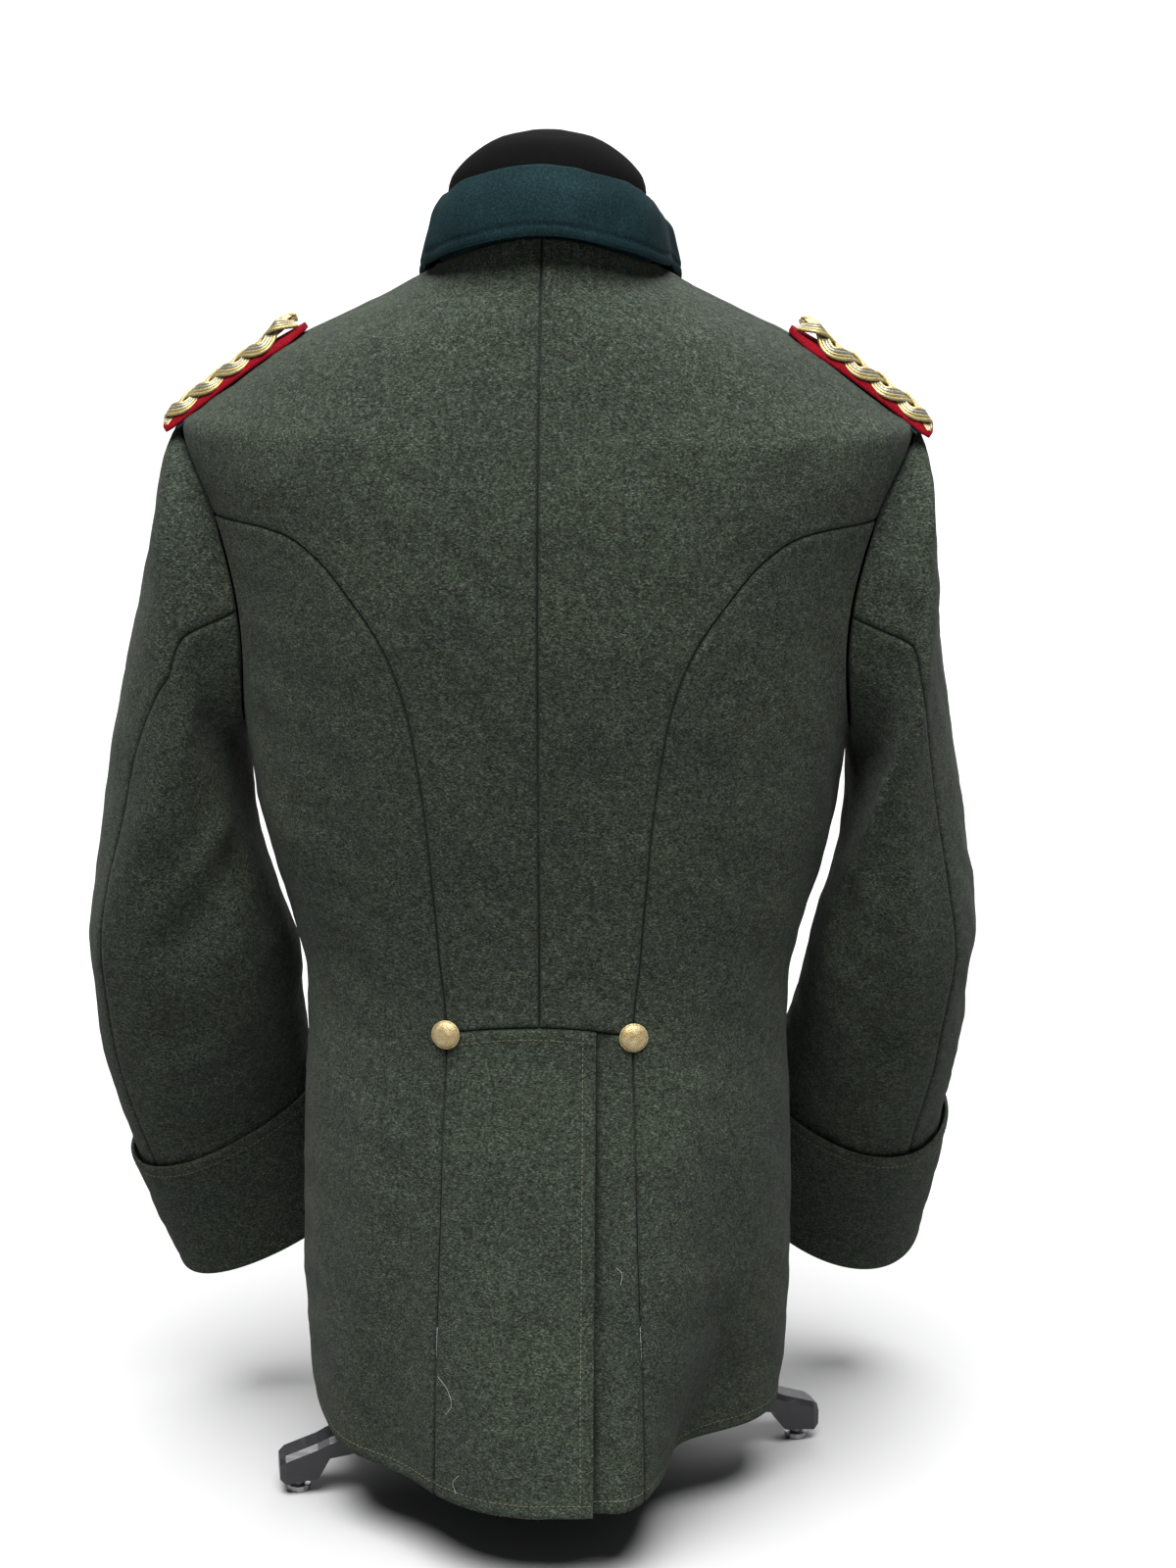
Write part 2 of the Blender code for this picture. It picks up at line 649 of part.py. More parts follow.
def build_body(wool):
    """The pieces of the body, each side of the centre."""
    for side, mirrored in (("right", False), ("left", True)):
        cloth_piece("back_" + side, body_side(mirrored), back_grid(), wool, mirrored)
        cloth_piece("side_" + side, body_side(mirrored), side_grid(), wool, mirrored)
    cloth_piece("front_right", tucked(body_point, under_front), front_grid(), wool)
    cloth_piece("front_left", body_side(True), front_grid(), wool, mirrored=True)
    cloth_piece("skirt_left", body_point, skirt_grid(-1.0, VENT_EDGE_X, 9), wool)
    cloth_piece("skirt_right", tucked(body_point, under_vent), skirt_grid(1.0, VENT_UNDER_X, 8), wool)


def body_side(mirrored):
    """The body surface as one side's pattern sees it."""
    if not mirrored:
        return body_point

    def left_side(phi, z):
        point = body_point(pi - phi, z)
        return Vector((-point.x, point.y, point.z))
    return left_side


def armhole_ring(alpha):
    """The armhole's edge at an angle from the shoulder tip, towards the back."""
    middle_z, middle_y = ARMHOLE_MIDDLE
    nodes = []
    for z, depth in ARMHOLE_ROWS:
        angle = atan2(-(depth - middle_y), z - middle_z)
        phi = phi_at_y(depth, z) if depth else 0.0
        point, slope_u, slope_v, normal = surface_frame(body_point, phi, z)
        away = Vector((0.0, middle_y, middle_z)) - Vector((0.0, point.y, point.z))
        away = (away - normal * away.dot(normal)).normalized()
        spot = point + away * SLEEVE_HEAD_INSET + normal * SLEEVE_HEAD_LIFT
        nodes.append((angle % (2 * pi), spot.x, spot.y, spot.z))
    nodes.sort()
    wrapped = [(n[0] - 2 * pi, *n[1:]) for n in nodes[-3:]] + nodes + [(n[0] + 2 * pi, *n[1:]) for n in nodes[:3]]
    return Vector(read_rows(wrapped, alpha % (2 * pi)))


def sleeve_rings(rows):
    """The middle, half width and half depth vectors of each ring."""
    middles = [Vector([(row[k] + row[k + 3]) / 2 for k in range(3)]) for row in rows]
    halves = [Vector([(row[k] - row[k + 3]) / 2 for k in range(3)]) for row in rows]
    rings = []
    for i, row in enumerate(rows):
        below = middles[min(i + 1, len(rows) - 1)]
        above = middles[max(i - 1, 0)]
        rearward = halves[i].cross(below - above).normalized()
        if rearward.y > 0:
            rearward = -rearward
        rings.append((middles[i], halves[i], rearward * row[6]))
    return rings


def sleeve_surface(rows, folds):
    """The outer face of a sleeve: alpha from the outer line towards the back, ring number from 0."""
    rings = sleeve_rings(rows)
    memory = {}

    def ring_point(alpha, number):
        key = (round(alpha, 7), number)
        if key not in memory:
            if number == 0:
                memory[key] = armhole_ring(alpha)
            else:
                middle, half, rear = rings[number - 1]
                reach = (abs(cos(alpha)) ** SLEEVE_CORNER + abs(sin(alpha)) ** SLEEVE_CORNER)
                reach = reach ** (-1.0 / SLEEVE_CORNER)
                memory[key] = middle + half * (reach * cos(alpha)) + rear * (reach * sin(alpha))
        return memory[key]

    def surface(alpha, ring):
        last = len(rings)
        low = int(min(max(ring, 0), last - 1e-9))
        t = ring - low
        points = [ring_point(alpha, min(max(low + k, 0), last)) for k in (-1, 0, 1, 2)]
        ahead = (points[2] - points[0]) * (0.5 if low > 0 else 1.0)
        beyond = (points[3] - points[1]) * (0.5 if low < last - 1 else 1.0)
        place = (points[1] * ((1 + 2 * t) * (1 - t) ** 2) + ahead * (t * (1 - t) ** 2)
                 + points[2] * (t * t * (3 - 2 * t)) + beyond * (t * t * (t - 1)))
        middle = rings[max(low, 1) - 1][0].lerp(rings[low][0], t)
        swell = 0.0
        for angle, spread, at_ring, half_length, lean, depth in folds:
            turn = turn_between(alpha * 180.0 / pi, angle + lean * (ring - at_ring))
            swell += depth * bell(turn, spread) * bell(ring - at_ring, half_length)
        outward = (place - middle).normalized()
        return place + outward * swell
    return surface


def build_sleeve(side, rows, folds, wool):
    """Top sleeve, under sleeve and turned-back cuff of one arm."""
    surface = sleeve_surface(rows, folds)
    mirrored = side == "left"
    last = len(rows)
    numbers = [0.0, 0.5] + [float(n) for n in range(1, last + 1)]
    fore = radians(FOREARM_SEAM_DEG)
    top, under = [], []
    for number in numbers:
        hind = radians(float(read_rows(HIND_SEAM_ROWS, number)[0]))
        top.append([(alpha, number) for alpha in steps(hind, fore, 11)])
        under.append([(alpha, number) for alpha in steps(fore + 2 * pi, hind, 8)])
    cloth_piece("sleeve_top_" + side, surface, top, wool, mirrored)
    cloth_piece("sleeve_under_" + side, surface, under, wool, mirrored)

    def cuff_surface(alpha, ring):
        point, slope_u, slope_v, normal = surface_frame(surface, alpha, ring)
        opening = CUFF_FLARE * (1.0 - ease(ring, CUFF_FIRST_RING, last))
        middle = sum(((surface(k * pi / 2, ring)) for k in range(4)), Vector()) / 4
        if normal.dot(point - middle) < 0:
            normal = -normal
        return point + normal * (LAP + GAP + opening)

    count = 22
    cuff = [[(2 * pi * k / count, number) for k in range(count)]
            for number in steps(CUFF_FIRST_RING, last, 4)]
    cloth_piece("cuff_" + side, cuff_surface, cuff, wool, mirrored, closed=True)


def build_collar(felt):
    """The stand and the fall of the collar, one folded wall round the neck, open at the front."""
    stations = steps(-90.0, COLLAR_END_DEG, COLLAR_STATIONS)
    rings = [collar_profile(deg, mirrored=True) for deg in stations[::-1]]
    rings += [collar_profile(deg, mirrored=False) for deg in stations[1:]]
    mesh = bmesh.new()
    loops = [[mesh.verts.new(point) for point in ring] for ring in rings]
    count = len(rings[0])
    for before, after in zip(loops, loops[1:]):
        for k in range(count):
            mesh.faces.new((before[k], before[(k + 1) % count], after[(k + 1) % count], after[k]))
    half = count // 2
    for loop in (loops[0], loops[-1]):
        for k in range(half - 1):
            mesh.faces.new((loop[k], loop[k + 1], loop[count - 2 - k], loop[count - 1 - k]))
    bmesh.ops.recalc_face_normals(mesh, faces=mesh.faces)
    return place_mesh("collar", mesh, felt)


def collar_profile(deg, mirrored):
    """The folded section of the collar at one place of the neckline."""
    rise, fold_out, drop, fall_out = read_rows(COLLAR_ROWS, deg)
    phi = radians(deg)

    def over_neckline(angle, above):
        return body_point(angle, neck_height(angle)) + Vector((0.0, 0.0, above))
    foot, slope_u, slope_v, normal = surface_frame(over_neckline, phi, 0.0)
    out = Vector((normal.x, normal.y, 0.0)).normalized()
    if out.dot(Vector((foot.x, foot.y, 0.0))) < 0:
        out = -out
    up = Vector((0.0, 0.0, 1.0))
    # Outer face from the lower edge of the fall over the fold to the foot of the stand
    outer = [
        (fall_out, -drop),
        (fall_out * 0.92 + fold_out * 0.08, rise * 0.30 - drop * 0.6),
        (fall_out * 0.62 + fold_out * 0.38, rise * 0.72),
        (fold_out + 0.0030, rise * 0.955),
        (fold_out, rise),
        (fold_out - 0.0032, rise * 0.95),
        (fold_out * 0.6 - 0.0030, rise * 0.55),
        (-0.0030, COLLAR_CLEAR),
    ]
    inner = [
        (fall_out - CLOTH, -drop),
        (fall_out * 0.92 + fold_out * 0.08 - CLOTH, rise * 0.30 - drop * 0.6),
        (fall_out * 0.62 + fold_out * 0.38 - CLOTH, rise * 0.70),
        (fold_out + 0.0014, rise * 0.89),
        (fold_out, rise * 0.90),
        (fold_out - 0.0014, rise * 0.88),
        (fold_out * 0.6 - 0.0010, rise * 0.53),
        (-0.0010, COLLAR_CLEAR),
    ]
    section = outer + inner[::-1]
    points = [foot + out * r + up * h for r, h in section]
    if mirrored:
        points = [Vector((-p.x, p.y, p.z)) for p in points]
    return points


def board_point(along, across, lift):
    """A point over the shoulder: along from the neck end, across -1 to 1, lift above the cloth."""
    start, end = BOARD_ROWS[0][0], BOARD_ROWS[-1][0]
    x = start + (end - start) * along
    before, after = max(x - 0.001, start), min(x + 0.001, end)
    z = float(read_rows(BOARD_ROWS, x)[0])
    slope = float(read_rows(BOARD_ROWS, after)[0] - read_rows(BOARD_ROWS, before)[0]) / (after - before)
    normal = Vector((-slope, 0.0, 1.0)).normalized()
    return Vector((x, 0.0, z)) + normal * (lift - BOARD_ARCH * across * across)


def board_strip(name, side, material, half_width_at, low, high_at, alongs, acrosses):
    """A closed solid over the shoulder with a plain underside and a modelled top."""
    sign = -1.0 if side == "left" else 1.0
    top, under = [], []
    for along in alongs:
        top.append([])
        under.append([])
        for across in acrosses:
            half = half_width_at(along)
            share = across * half / BOARD_HALF_WIDTH
            for line, lift in ((top, high_at(along, across)), (under, low)):
                point = board_point(along, share, lift)
                line[-1].append(Vector((sign * point.x, across * half, point.z)))
    return close_wall(name, top, under, material)


def rounded(away, radius):
    """Height of a round edge: 1 on the flat and 0 where the rim is reached."""
    return sqrt(max(1.0 - (max(away, 0.0) / radius) ** 2, 0.0))


def board_outline(along):
    """Half width of the board: round at the neck end and nearly square at the sleeve end."""
    neck_round = rounded(1.0 - along / 0.22, 1.0)
    sleeve_round = 1.0 - 0.12 * ease(along, 0.94, 1.0)
    return BOARD_HALF_WIDTH * max(neck_round, 0.34) * sleeve_round


def braid_outline(along):
    """Half width of the braid, scalloped by its loops."""
    inside = (along - BRAID_START) / BRAID_LENGTH
    scallop = 0.90 + 0.10 * abs(sin(pi * BRAID_LOOPS * inside))
    return BRAID_HALF_WIDTH * scallop * max(rounded(1.0 - inside / 0.16, 1.0), 0.40)


def board_top(along, across):
    """Height of the board's rolled top."""
    roll = rounded(abs(across) - 0.80, 0.20)
    return BOARD_LIFT + BOARD_THICK * (0.45 + 0.55 * roll)


def braid_height(along, across):
    """Height of the plaited cords: four strands that cross in a figure of eight."""
    phase = pi * BRAID_LOOPS * (along - BRAID_START) / BRAID_LENGTH
    best = 0.0
    for offset, reach in ((0.0, 0.62), (pi, 0.62), (0.0, 0.30), (pi, 0.30)):
        strand = reach * sin(phase + offset)
        best = max(best, rounded(abs(across - strand), STRAND_HALF_WIDTH))
    edge = rounded(abs(across) - 0.72, 0.28)
    base = BOARD_LIFT + BOARD_THICK + GAP
    return base + BRAID_SLAB * (0.35 + 0.65 * edge) + BRAID_CORD * best * edge


def build_boards(red, gold, dark, gilt):
    """Red cloth board, gold braid, cloth loop and button on each shoulder."""
    for side, sign in (("left", -1.0), ("right", 1.0)):
        board_strip("board_" + side, side, red, board_outline, BOARD_LIFT, board_top,
                    [0.0, 0.02, 0.06, 0.12, 0.2, 0.4, 0.6, 0.8, 0.94, 1.0],
                    [-1.0, -0.92, -0.75, 0.0, 0.75, 0.92, 1.0])
        board_strip("braid_" + side, side, gold, braid_outline, BOARD_LIFT + BOARD_THICK + GAP, braid_height,
                    steps(BRAID_START, BRAID_START + BRAID_LENGTH, 20),
                    [-1.0, -0.82, -0.55, -0.28, 0.0, 0.28, 0.55, 0.82, 1.0])
        board_strip("board_loop_" + side, side, dark, lambda along: LOOP_HALF_WIDTH, LOOP_LIFT,
                    lambda along, across: LOOP_LIFT + LOOP_THICK, [0.83, 0.93], steps(-1.0, 1.0, 6))
        top = BOARD_LIFT + BOARD_THICK + BRAID_SLAB + BRAID_CORD + 2 * GAP
        spot = board_point(BOARD_BUTTON_ALONG, 0.0, top)
        normal = board_point(BOARD_BUTTON_ALONG, 0.0, 1.0) - board_point(BOARD_BUTTON_ALONG, 0.0, 0.0)
        turned_button("board_button_" + side, BOARD_BUTTON_RADIUS, Vector((sign * spot.x, 0.0, spot.z)),
                      Vector((sign * normal.x, 0.0, normal.z)), gilt)


def turned_solid(name, profile, material, turns=12):
    """A solid turned round Z from a profile that starts and ends on the axis."""
    data = bpy.data.meshes.new(name)
    edges = [(k, k + 1) for k in range(len(profile) - 1)]
    data.from_pydata([(r, 0.0, z) for r, z in profile], edges, [])
    data.materials.append(material)
    made = bpy.data.objects.new(name, data)
    bpy.data.collections[OBJECT_NAME].objects.link(made)
    turn = made.modifiers.new("turn", "SCREW")
    turn.steps = turns
    turn.render_steps = turns
    turn.use_merge_vertices = True
    turn.merge_threshold = 0.00005
    turn.use_smooth_shade = True
    return made


def turned_button(name, radius, spot, normal, material):
    """A domed button that faces along the normal."""
    rise = BUTTON_RISE * radius / BUTTON_RADIUS
    profile = [
        (0.0, rise),
        (radius * 0.50, rise * 0.86),
        (radius * 0.86, rise * 0.52),
        (radius, rise * 0.18),
        (radius * 0.92, 0.0),
        (0.0, 0.0),
    ]
    made = turned_solid(name, profile, material)
    made.location = spot
    made.rotation_mode = "QUATERNION"
    made.rotation_quaternion = Vector((0.0, 0.0, 1.0)).rotation_difference(normal.normalized())
    return made


def build_buttons(gilt):
    """Two buttons at the back waist and a row down the front."""
    x, z = WAIST_BUTTON
    for side, phi in (("right", phi_at_x(x, z)), ("left", phi_at_x(-x, z))):
        button_on_cloth("waist_button_" + side, phi, z, WAIST_BUTTON_LIFT, gilt)
    for number, height in enumerate(FRONT_BUTTON_Z, 1):
        button_on_cloth("front_button_%d" % number, pi / 2, height, BUTTON_LIFT, gilt)


def button_on_cloth(name, phi, z, lift, gilt):
    """A button whose back lies just clear of the curved cloth."""
    point, slope_u, slope_v, normal = surface_frame(body_point, phi, z)
    return turned_button(name, BUTTON_RADIUS, point + normal * lift, normal, gilt)


def build_form(velvet):
    """Torso and neck of the dress form, a closed shape inside the cloth."""
    count = 24
    rings = []
    heights, insets = zip(*FORM_ROWS)
    for z in steps(FORM_BOTTOM_Z, 0.700, 8) + [0.725, 0.745, 0.765, 0.785, 0.800, 0.812]:
        inset = float(np.interp(z, heights, insets))
        ring = []
        for k in range(count):
            phi = 2 * pi * k / count
            point, slope_u, slope_v, normal = surface_frame(body_point, phi, z)
            point -= normal * (inset + FORM_FRONT_EASE * max(sin(phi), 0.0))
            ring.append(Vector((point.x, point.y, z if z == FORM_BOTTOM_Z else point.z)))
        rings.append(ring)
    for z, half_width, behind, before in NECK_ROWS:
        ring = []
        for k in range(count):
            phi = 2 * pi * k / count
            depth = behind if sin(phi) < 0 else before
            ring.append(Vector((half_width * cos(phi), depth * sin(phi), z)))
        rings.append(ring)
    mesh = bmesh.new()
    loops = [[mesh.verts.new(point) for point in ring] for ring in rings]
    for before, after in zip(loops, loops[1:]):
        for k in range(count):
            mesh.faces.new((before[k], before[(k + 1) % count], after[(k + 1) % count], after[k]))
    low = mesh.verts.new((0.0, 0.0, sum(p.z for p in rings[0]) / count))
    high = mesh.verts.new((0.0, 0.0, NECK_TOP_Z))
    for k in range(count):
        mesh.faces.new((low, loops[0][(k + 1) % count], loops[0][k]))
        mesh.faces.new((high, loops[-1][k], loops[-1][(k + 1) % count]))
    bmesh.ops.recalc_face_normals(mesh, faces=mesh.faces)
    return place_mesh("form_torso", mesh, velvet)


def build_leg(name, heading, reach, black):
    """A tapering leg with a deeper socket at its end, above a levelling foot."""
    start = HUB_RADIUS + GAP
    end = reach + LEG_END
    socket = reach - SOCKET_LENGTH / 2
    # Along the leg: distance, half width, underside, top
    stations = [
        (start, LEG_ROOT_HALF_WIDTH, LEG_ROOT_UNDER_Z, LEG_ROOT_TOP_Z),
        (socket - 0.008, LEG_HALF_WIDTH * 1.05, LEG_MID_UNDER_Z, LEG_MID_TOP_Z),
        (socket, LEG_HALF_WIDTH, SOCKET_UNDER_Z + 0.003, LEG_MID_TOP_Z - 0.004),
        (end - 0.004, LEG_HALF_WIDTH, SOCKET_UNDER_Z, LEG_TOP_Z),
        (end, LEG_HALF_WIDTH * 0.82, SOCKET_UNDER_Z + 0.003, LEG_TOP_Z - 0.003),
    ]
    mesh = bmesh.new()
    direction = Vector((cos(heading), sin(heading), 0.0))
    aside = Vector((-sin(heading), cos(heading), 0.0))
    loops = []
    for away, half, low, high in stations:
        section = [(-half, low), (half, low), (half, high - LEG_BEVEL), (half - LEG_BEVEL, high),
                   (LEG_BEVEL - half, high), (-half, high - LEG_BEVEL)]
        loops.append([mesh.verts.new(direction * away + aside * s + Vector((0, 0, z))) for s, z in section])
    for before, after in zip(loops, loops[1:]):
        for k in range(6):
            mesh.faces.new((before[k], before[(k + 1) % 6], after[(k + 1) % 6], after[k]))
    mesh.faces.new(loops[0])
    mesh.faces.new(loops[-1])
    bmesh.ops.recalc_face_normals(mesh, faces=mesh.faces)
    place_mesh(name, mesh, black)


def build_stand(black, steel):
    """Pole, hub, four legs and their levelling feet."""
    hub_top, hub_under = LEG_ROOT_TOP_Z + HUB_RIM, LEG_ROOT_UNDER_Z - HUB_RIM
    hub = [(0.0, hub_top), (HUB_RADIUS - HUB_RIM, hub_top), (HUB_RADIUS, LEG_ROOT_TOP_Z),
           (HUB_RADIUS, hub_under), (0.0, hub_under)]
    turned_solid("base_hub", hub, black, 20)
    low, high = hub_top + GAP, FORM_BOTTOM_Z - GAP
    pole = [(0.0, high), (POLE_RADIUS, high), (POLE_RADIUS, low), (0.0, low)]
    turned_solid("pole", pole, black, 16)
    for side, degrees, reach in BASE_ARMS:
        heading = radians(degrees)
        build_leg("leg_" + side, heading, reach, black)
        top = SOCKET_UNDER_Z - GAP
        foot = [(0.0, top), (SCREW_RADIUS, top), (SCREW_RADIUS, FOOT_THICK), (FOOT_RADIUS, FOOT_THICK),
                (FOOT_RADIUS, 0.0), (0.0, 0.0)]
        made = turned_solid("foot_" + side, foot, steel)
        made.location = (reach * cos(heading), reach * sin(heading), 0.0)


def centre_on_floor():
    """Moves everything so that the origin is the middle of the bounding box's underside."""
    bpy.context.view_layer.update()
    depsgraph = bpy.context.evaluated_depsgraph_get()
    made = bpy.data.collections[OBJECT_NAME].objects
    corners = []
    for item in made:
        shape = item.evaluated_get(depsgraph)
        corners += [shape.matrix_world @ Vector(corner) for corner in shape.bound_box]
    low = [min(corner[k] for corner in corners) for k in range(3)]
    high = [max(corner[k] for corner in corners) for k in range(3)]
    middle = Vector(((low[0] + high[0]) / 2, (low[1] + high[1]) / 2, low[2]))
    for item in made:
        item.location -= middle


def build():
    """The whole object."""
    fresh_collection()
    wool = make_material("wool", (0.060, 0.078, 0.062), 0.95)
    felt = make_material("collar_felt", (0.016, 0.040, 0.042), 0.95)
    red = make_material("red_cloth", (0.45, 0.012, 0.020), 0.85)
    gold = make_material("gold_cord", (0.62, 0.47, 0.20), 0.45, 0.6)
    gilt = make_material("gilt_button", (0.50, 0.40, 0.20), 0.50, 0.9)
    velvet = make_material("form_velvet", (0.006, 0.006, 0.006), 0.95)
    black = make_material("leg_black", (0.012, 0.012, 0.014), 0.45)
    steel = make_material("foot_steel", (0.42, 0.42, 0.43), 0.35, 0.9)
    build_body(wool)
    build_sleeve("left", LEFT_SLEEVE_ROWS, LEFT_SLEEVE_FOLDS, wool)
    build_sleeve("right", RIGHT_SLEEVE_ROWS, RIGHT_SLEEVE_FOLDS, wool)
    build_collar(felt)
    build_boards(red, gold, felt, gilt)
    build_buttons(gilt)
    build_form(velvet)
    build_stand(black, steel)
    centre_on_floor()


build()
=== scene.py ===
import math
import bpy
import bmesh
import numpy as np
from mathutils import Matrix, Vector, kdtree


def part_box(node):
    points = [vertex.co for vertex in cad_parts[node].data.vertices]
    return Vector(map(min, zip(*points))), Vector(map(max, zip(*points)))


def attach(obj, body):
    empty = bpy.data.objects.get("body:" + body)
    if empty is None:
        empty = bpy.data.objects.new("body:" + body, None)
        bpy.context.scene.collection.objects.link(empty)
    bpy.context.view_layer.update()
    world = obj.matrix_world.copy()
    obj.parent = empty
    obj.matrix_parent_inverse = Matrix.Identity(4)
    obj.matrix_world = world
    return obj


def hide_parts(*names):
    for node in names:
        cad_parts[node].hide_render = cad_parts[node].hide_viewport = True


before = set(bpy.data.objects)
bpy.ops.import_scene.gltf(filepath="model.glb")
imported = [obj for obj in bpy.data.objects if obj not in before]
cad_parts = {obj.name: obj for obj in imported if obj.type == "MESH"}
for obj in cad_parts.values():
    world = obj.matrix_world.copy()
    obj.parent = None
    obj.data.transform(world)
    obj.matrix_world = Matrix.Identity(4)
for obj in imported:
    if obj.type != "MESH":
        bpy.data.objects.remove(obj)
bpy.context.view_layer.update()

bpy.ops.object.select_all(action="DESELECT")
poleLow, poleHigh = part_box("pole")
# the pole stands on the tunic's centre line
middle = np.array([(poleLow[0] + poleHigh[0]) / 2, (poleLow[1] + poleHigh[1]) / 2, 0.0])
mirror = np.array([-1.0, 1.0, 1.0])
print("frame loaded, pole at", middle.round(4))


# Camera first: a long lens behind the tunic, a little above it, looking down
photoView = {"distance": 2.10, "height": 1.07, "turn": 2.7, "tilt": 15.35, "lens": 76.5, "shiftX": 0.026}
turn = math.radians(photoView["turn"])
cameraData = bpy.data.cameras.new("photoCamera")
cameraData.lens = photoView["lens"]
cameraData.sensor_width = 36.0
cameraData.shift_x = photoView["shiftX"]
camera = bpy.data.objects.new("photoCamera", cameraData)
bpy.context.scene.collection.objects.link(camera)
camera.location = (middle[0] + photoView["distance"] * math.sin(turn),
                   middle[1] - photoView["distance"] * math.cos(turn), photoView["height"])
camera.rotation_euler = (math.radians(90 - photoView["tilt"]), 0, turn)
bpy.context.scene.camera = camera


# Small helpers for tables, curves and grids
def readRows(rows, at):  # a smooth curve through the rows of a table, without overshoot
    table = np.array(rows, dtype=float)
    keys = table[:, 0]
    at = np.clip(np.asarray(at, dtype=float), keys[0], keys[-1])
    low = np.clip(np.searchsorted(keys, at, side="right") - 1, 0, len(keys) - 2)
    rises = np.diff(table, axis=0) / np.diff(keys)[:, None]
    slopes = np.vstack([rises[:1], np.zeros_like(rises[1:]), rises[-1:]])
    same = rises[:-1] * rises[1:] > 0
    average = 0.5 * (rises[:-1] + rises[1:])
    slopes[1:-1][same] = (rises[:-1][same] * rises[1:][same]) / average[same]
    step = (keys[low + 1] - keys[low])[..., None]
    t = ((at - keys[low])[..., None]) / step
    start = table[low] * (1 + 2 * t) * (1 - t) ** 2 + slopes[low] * step * t * (1 - t) ** 2
    end = table[low + 1] * t * t * (3 - 2 * t) + slopes[low + 1] * step * t * t * (t - 1)
    return (start + end)[..., 1:]


def bell(distance, spread):
    return np.exp(-(distance / spread) ** 2)


def turnBetween(angle, centre):
    return (angle - centre + 180.0) % 360.0 - 180.0


def ease(value, start, end):
    t = np.clip((value - start) / (end - start), 0.0, 1.0)
    return t * t * (3 - 2 * t)


def stepsBetween(start, end, count):
    return [start + (end - start) * i / count for i in range(count + 1)]


def smoothAlong(values, at, breaks=()):  # Catmull-Rom along the first axis, with corners kept at the breaks
    values = np.asarray(values, dtype=float)
    stops = sorted({0, len(values) - 1, *breaks})
    at = np.clip(np.asarray(at, dtype=float), 0, len(values) - 1)
    low = np.minimum(at.astype(int), len(values) - 2)
    first = np.array([max(s for s in stops if s <= k) for k in low])
    last = np.array([min(s for s in stops if s > k) for k in low])
    shape = (-1,) + (1,) * (values.ndim - 1)
    t = (at - low).reshape(shape)
    one, two = values[low], values[low + 1]
    zero = np.where((low - 1 >= first).reshape(shape), values[np.maximum(low - 1, 0)], 2 * one - two)
    beyond = values[np.minimum(low + 2, len(values) - 1)]
    three = np.where((low + 2 <= last).reshape(shape), beyond, 2 * two - one)
    return 0.5 * (2 * one + (two - zero) * t + (2 * zero - 5 * one + 4 * two - three) * t * t
                  + (3 * one - zero - 3 * two + three) * t ** 3)


def gridNormals(points, closed=False):
    if closed:
        wide = np.concatenate([points[:, -2:], points, points[:, :2]], axis=1)
        across = np.gradient(wide, axis=1)[:, 2:-2]
    else:
        across = np.gradient(points, axis=1)
    along = np.gradient(points, axis=0)
    normals = np.cross(across, along)
    return normals / np.maximum(np.linalg.norm(normals, axis=2, keepdims=True), 1e-12)


def tallyAlong(points, axis=0):  # distance travelled along one axis of a path or grid
    steps = np.linalg.norm(np.diff(points, axis=axis), axis=-1)
    start = np.zeros_like(np.take(steps, [0], axis=axis))
    return np.concatenate([start, np.cumsum(steps, axis=axis)], axis=axis)


def meshFromGrid(name, points, closed=False, material=None):
    rows, columns = points.shape[:2]
    spans = columns if closed else columns - 1
    r, c = np.meshgrid(np.arange(rows - 1), np.arange(spans), indexing="ij")
    after = (c + 1) % columns
    here, above = r * columns, (r + 1) * columns
    faces = np.stack([here + c, here + after, above + after, above + c], -1)
    data = bpy.data.meshes.new(name)
    data.from_pydata(points.reshape(-1, 3).tolist(), [], faces.reshape(-1, 4).tolist())
    layer = data.uv_layers.new(name="cut")  # the cut piece laid flat, in metres
    flat = np.stack([tallyAlong(points, 1), tallyAlong(points)], -1).reshape(-1, 2)
    corners = np.zeros(len(data.loops), dtype=int)
    data.loops.foreach_get("vertex_index", corners)
    layer.data.foreach_set("uv", flat[corners].ravel())
    made = bpy.data.objects.new(name, data)
    bpy.context.scene.collection.objects.link(made)
    if material:
        data.materials.append(material)
    return made


def selectOnly(made):
    bpy.ops.object.select_all(action="DESELECT")
    made.select_set(True)
    bpy.context.view_layer.objects.active = made


def applyModifiers(made):
    selectOnly(made)
    for modifier in list(made.modifiers):
        bpy.ops.object.modifier_apply(modifier=modifier.name)
    made.select_set(False)


def smoothShade(made, angle=60.0):
    selectOnly(made)
    bpy.ops.object.shade_smooth_by_angle(angle=math.radians(angle))
    made.select_set(False)


def finishPiece(made, angle, node=None):  # every piece rides on the part's one body
    smoothShade(made, angle)
    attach(made, "root")
    if node:
        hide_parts(node)


def addWall(made, thickness, facing):  # the wall grows inwards from the outer face
    solid = made.modifiers.new("wall", "SOLIDIFY")
    solid.thickness = thickness
    solid.offset = -1.0 if facing > 0 else 1.0
    applyModifiers(made)
    if facing < 0:
        made.data.flip_normals()


def closeMesh(data, fillEnds=True):
    work = bmesh.new()
    work.from_mesh(data)
    if fillEnds:
        bmesh.ops.holes_fill(work, edges=[edge for edge in work.edges if edge.is_boundary], sides=0)
    bmesh.ops.recalc_face_normals(work, faces=work.faces)
    work.to_mesh(data)
    work.free()


def crossSlopes(surface, u, v, step=0.0005):  # the surface's normal, not yet of length one
    return np.cross(surface(u + step, v) - surface(u - step, v), surface(u, v + step) - surface(u, v - step))


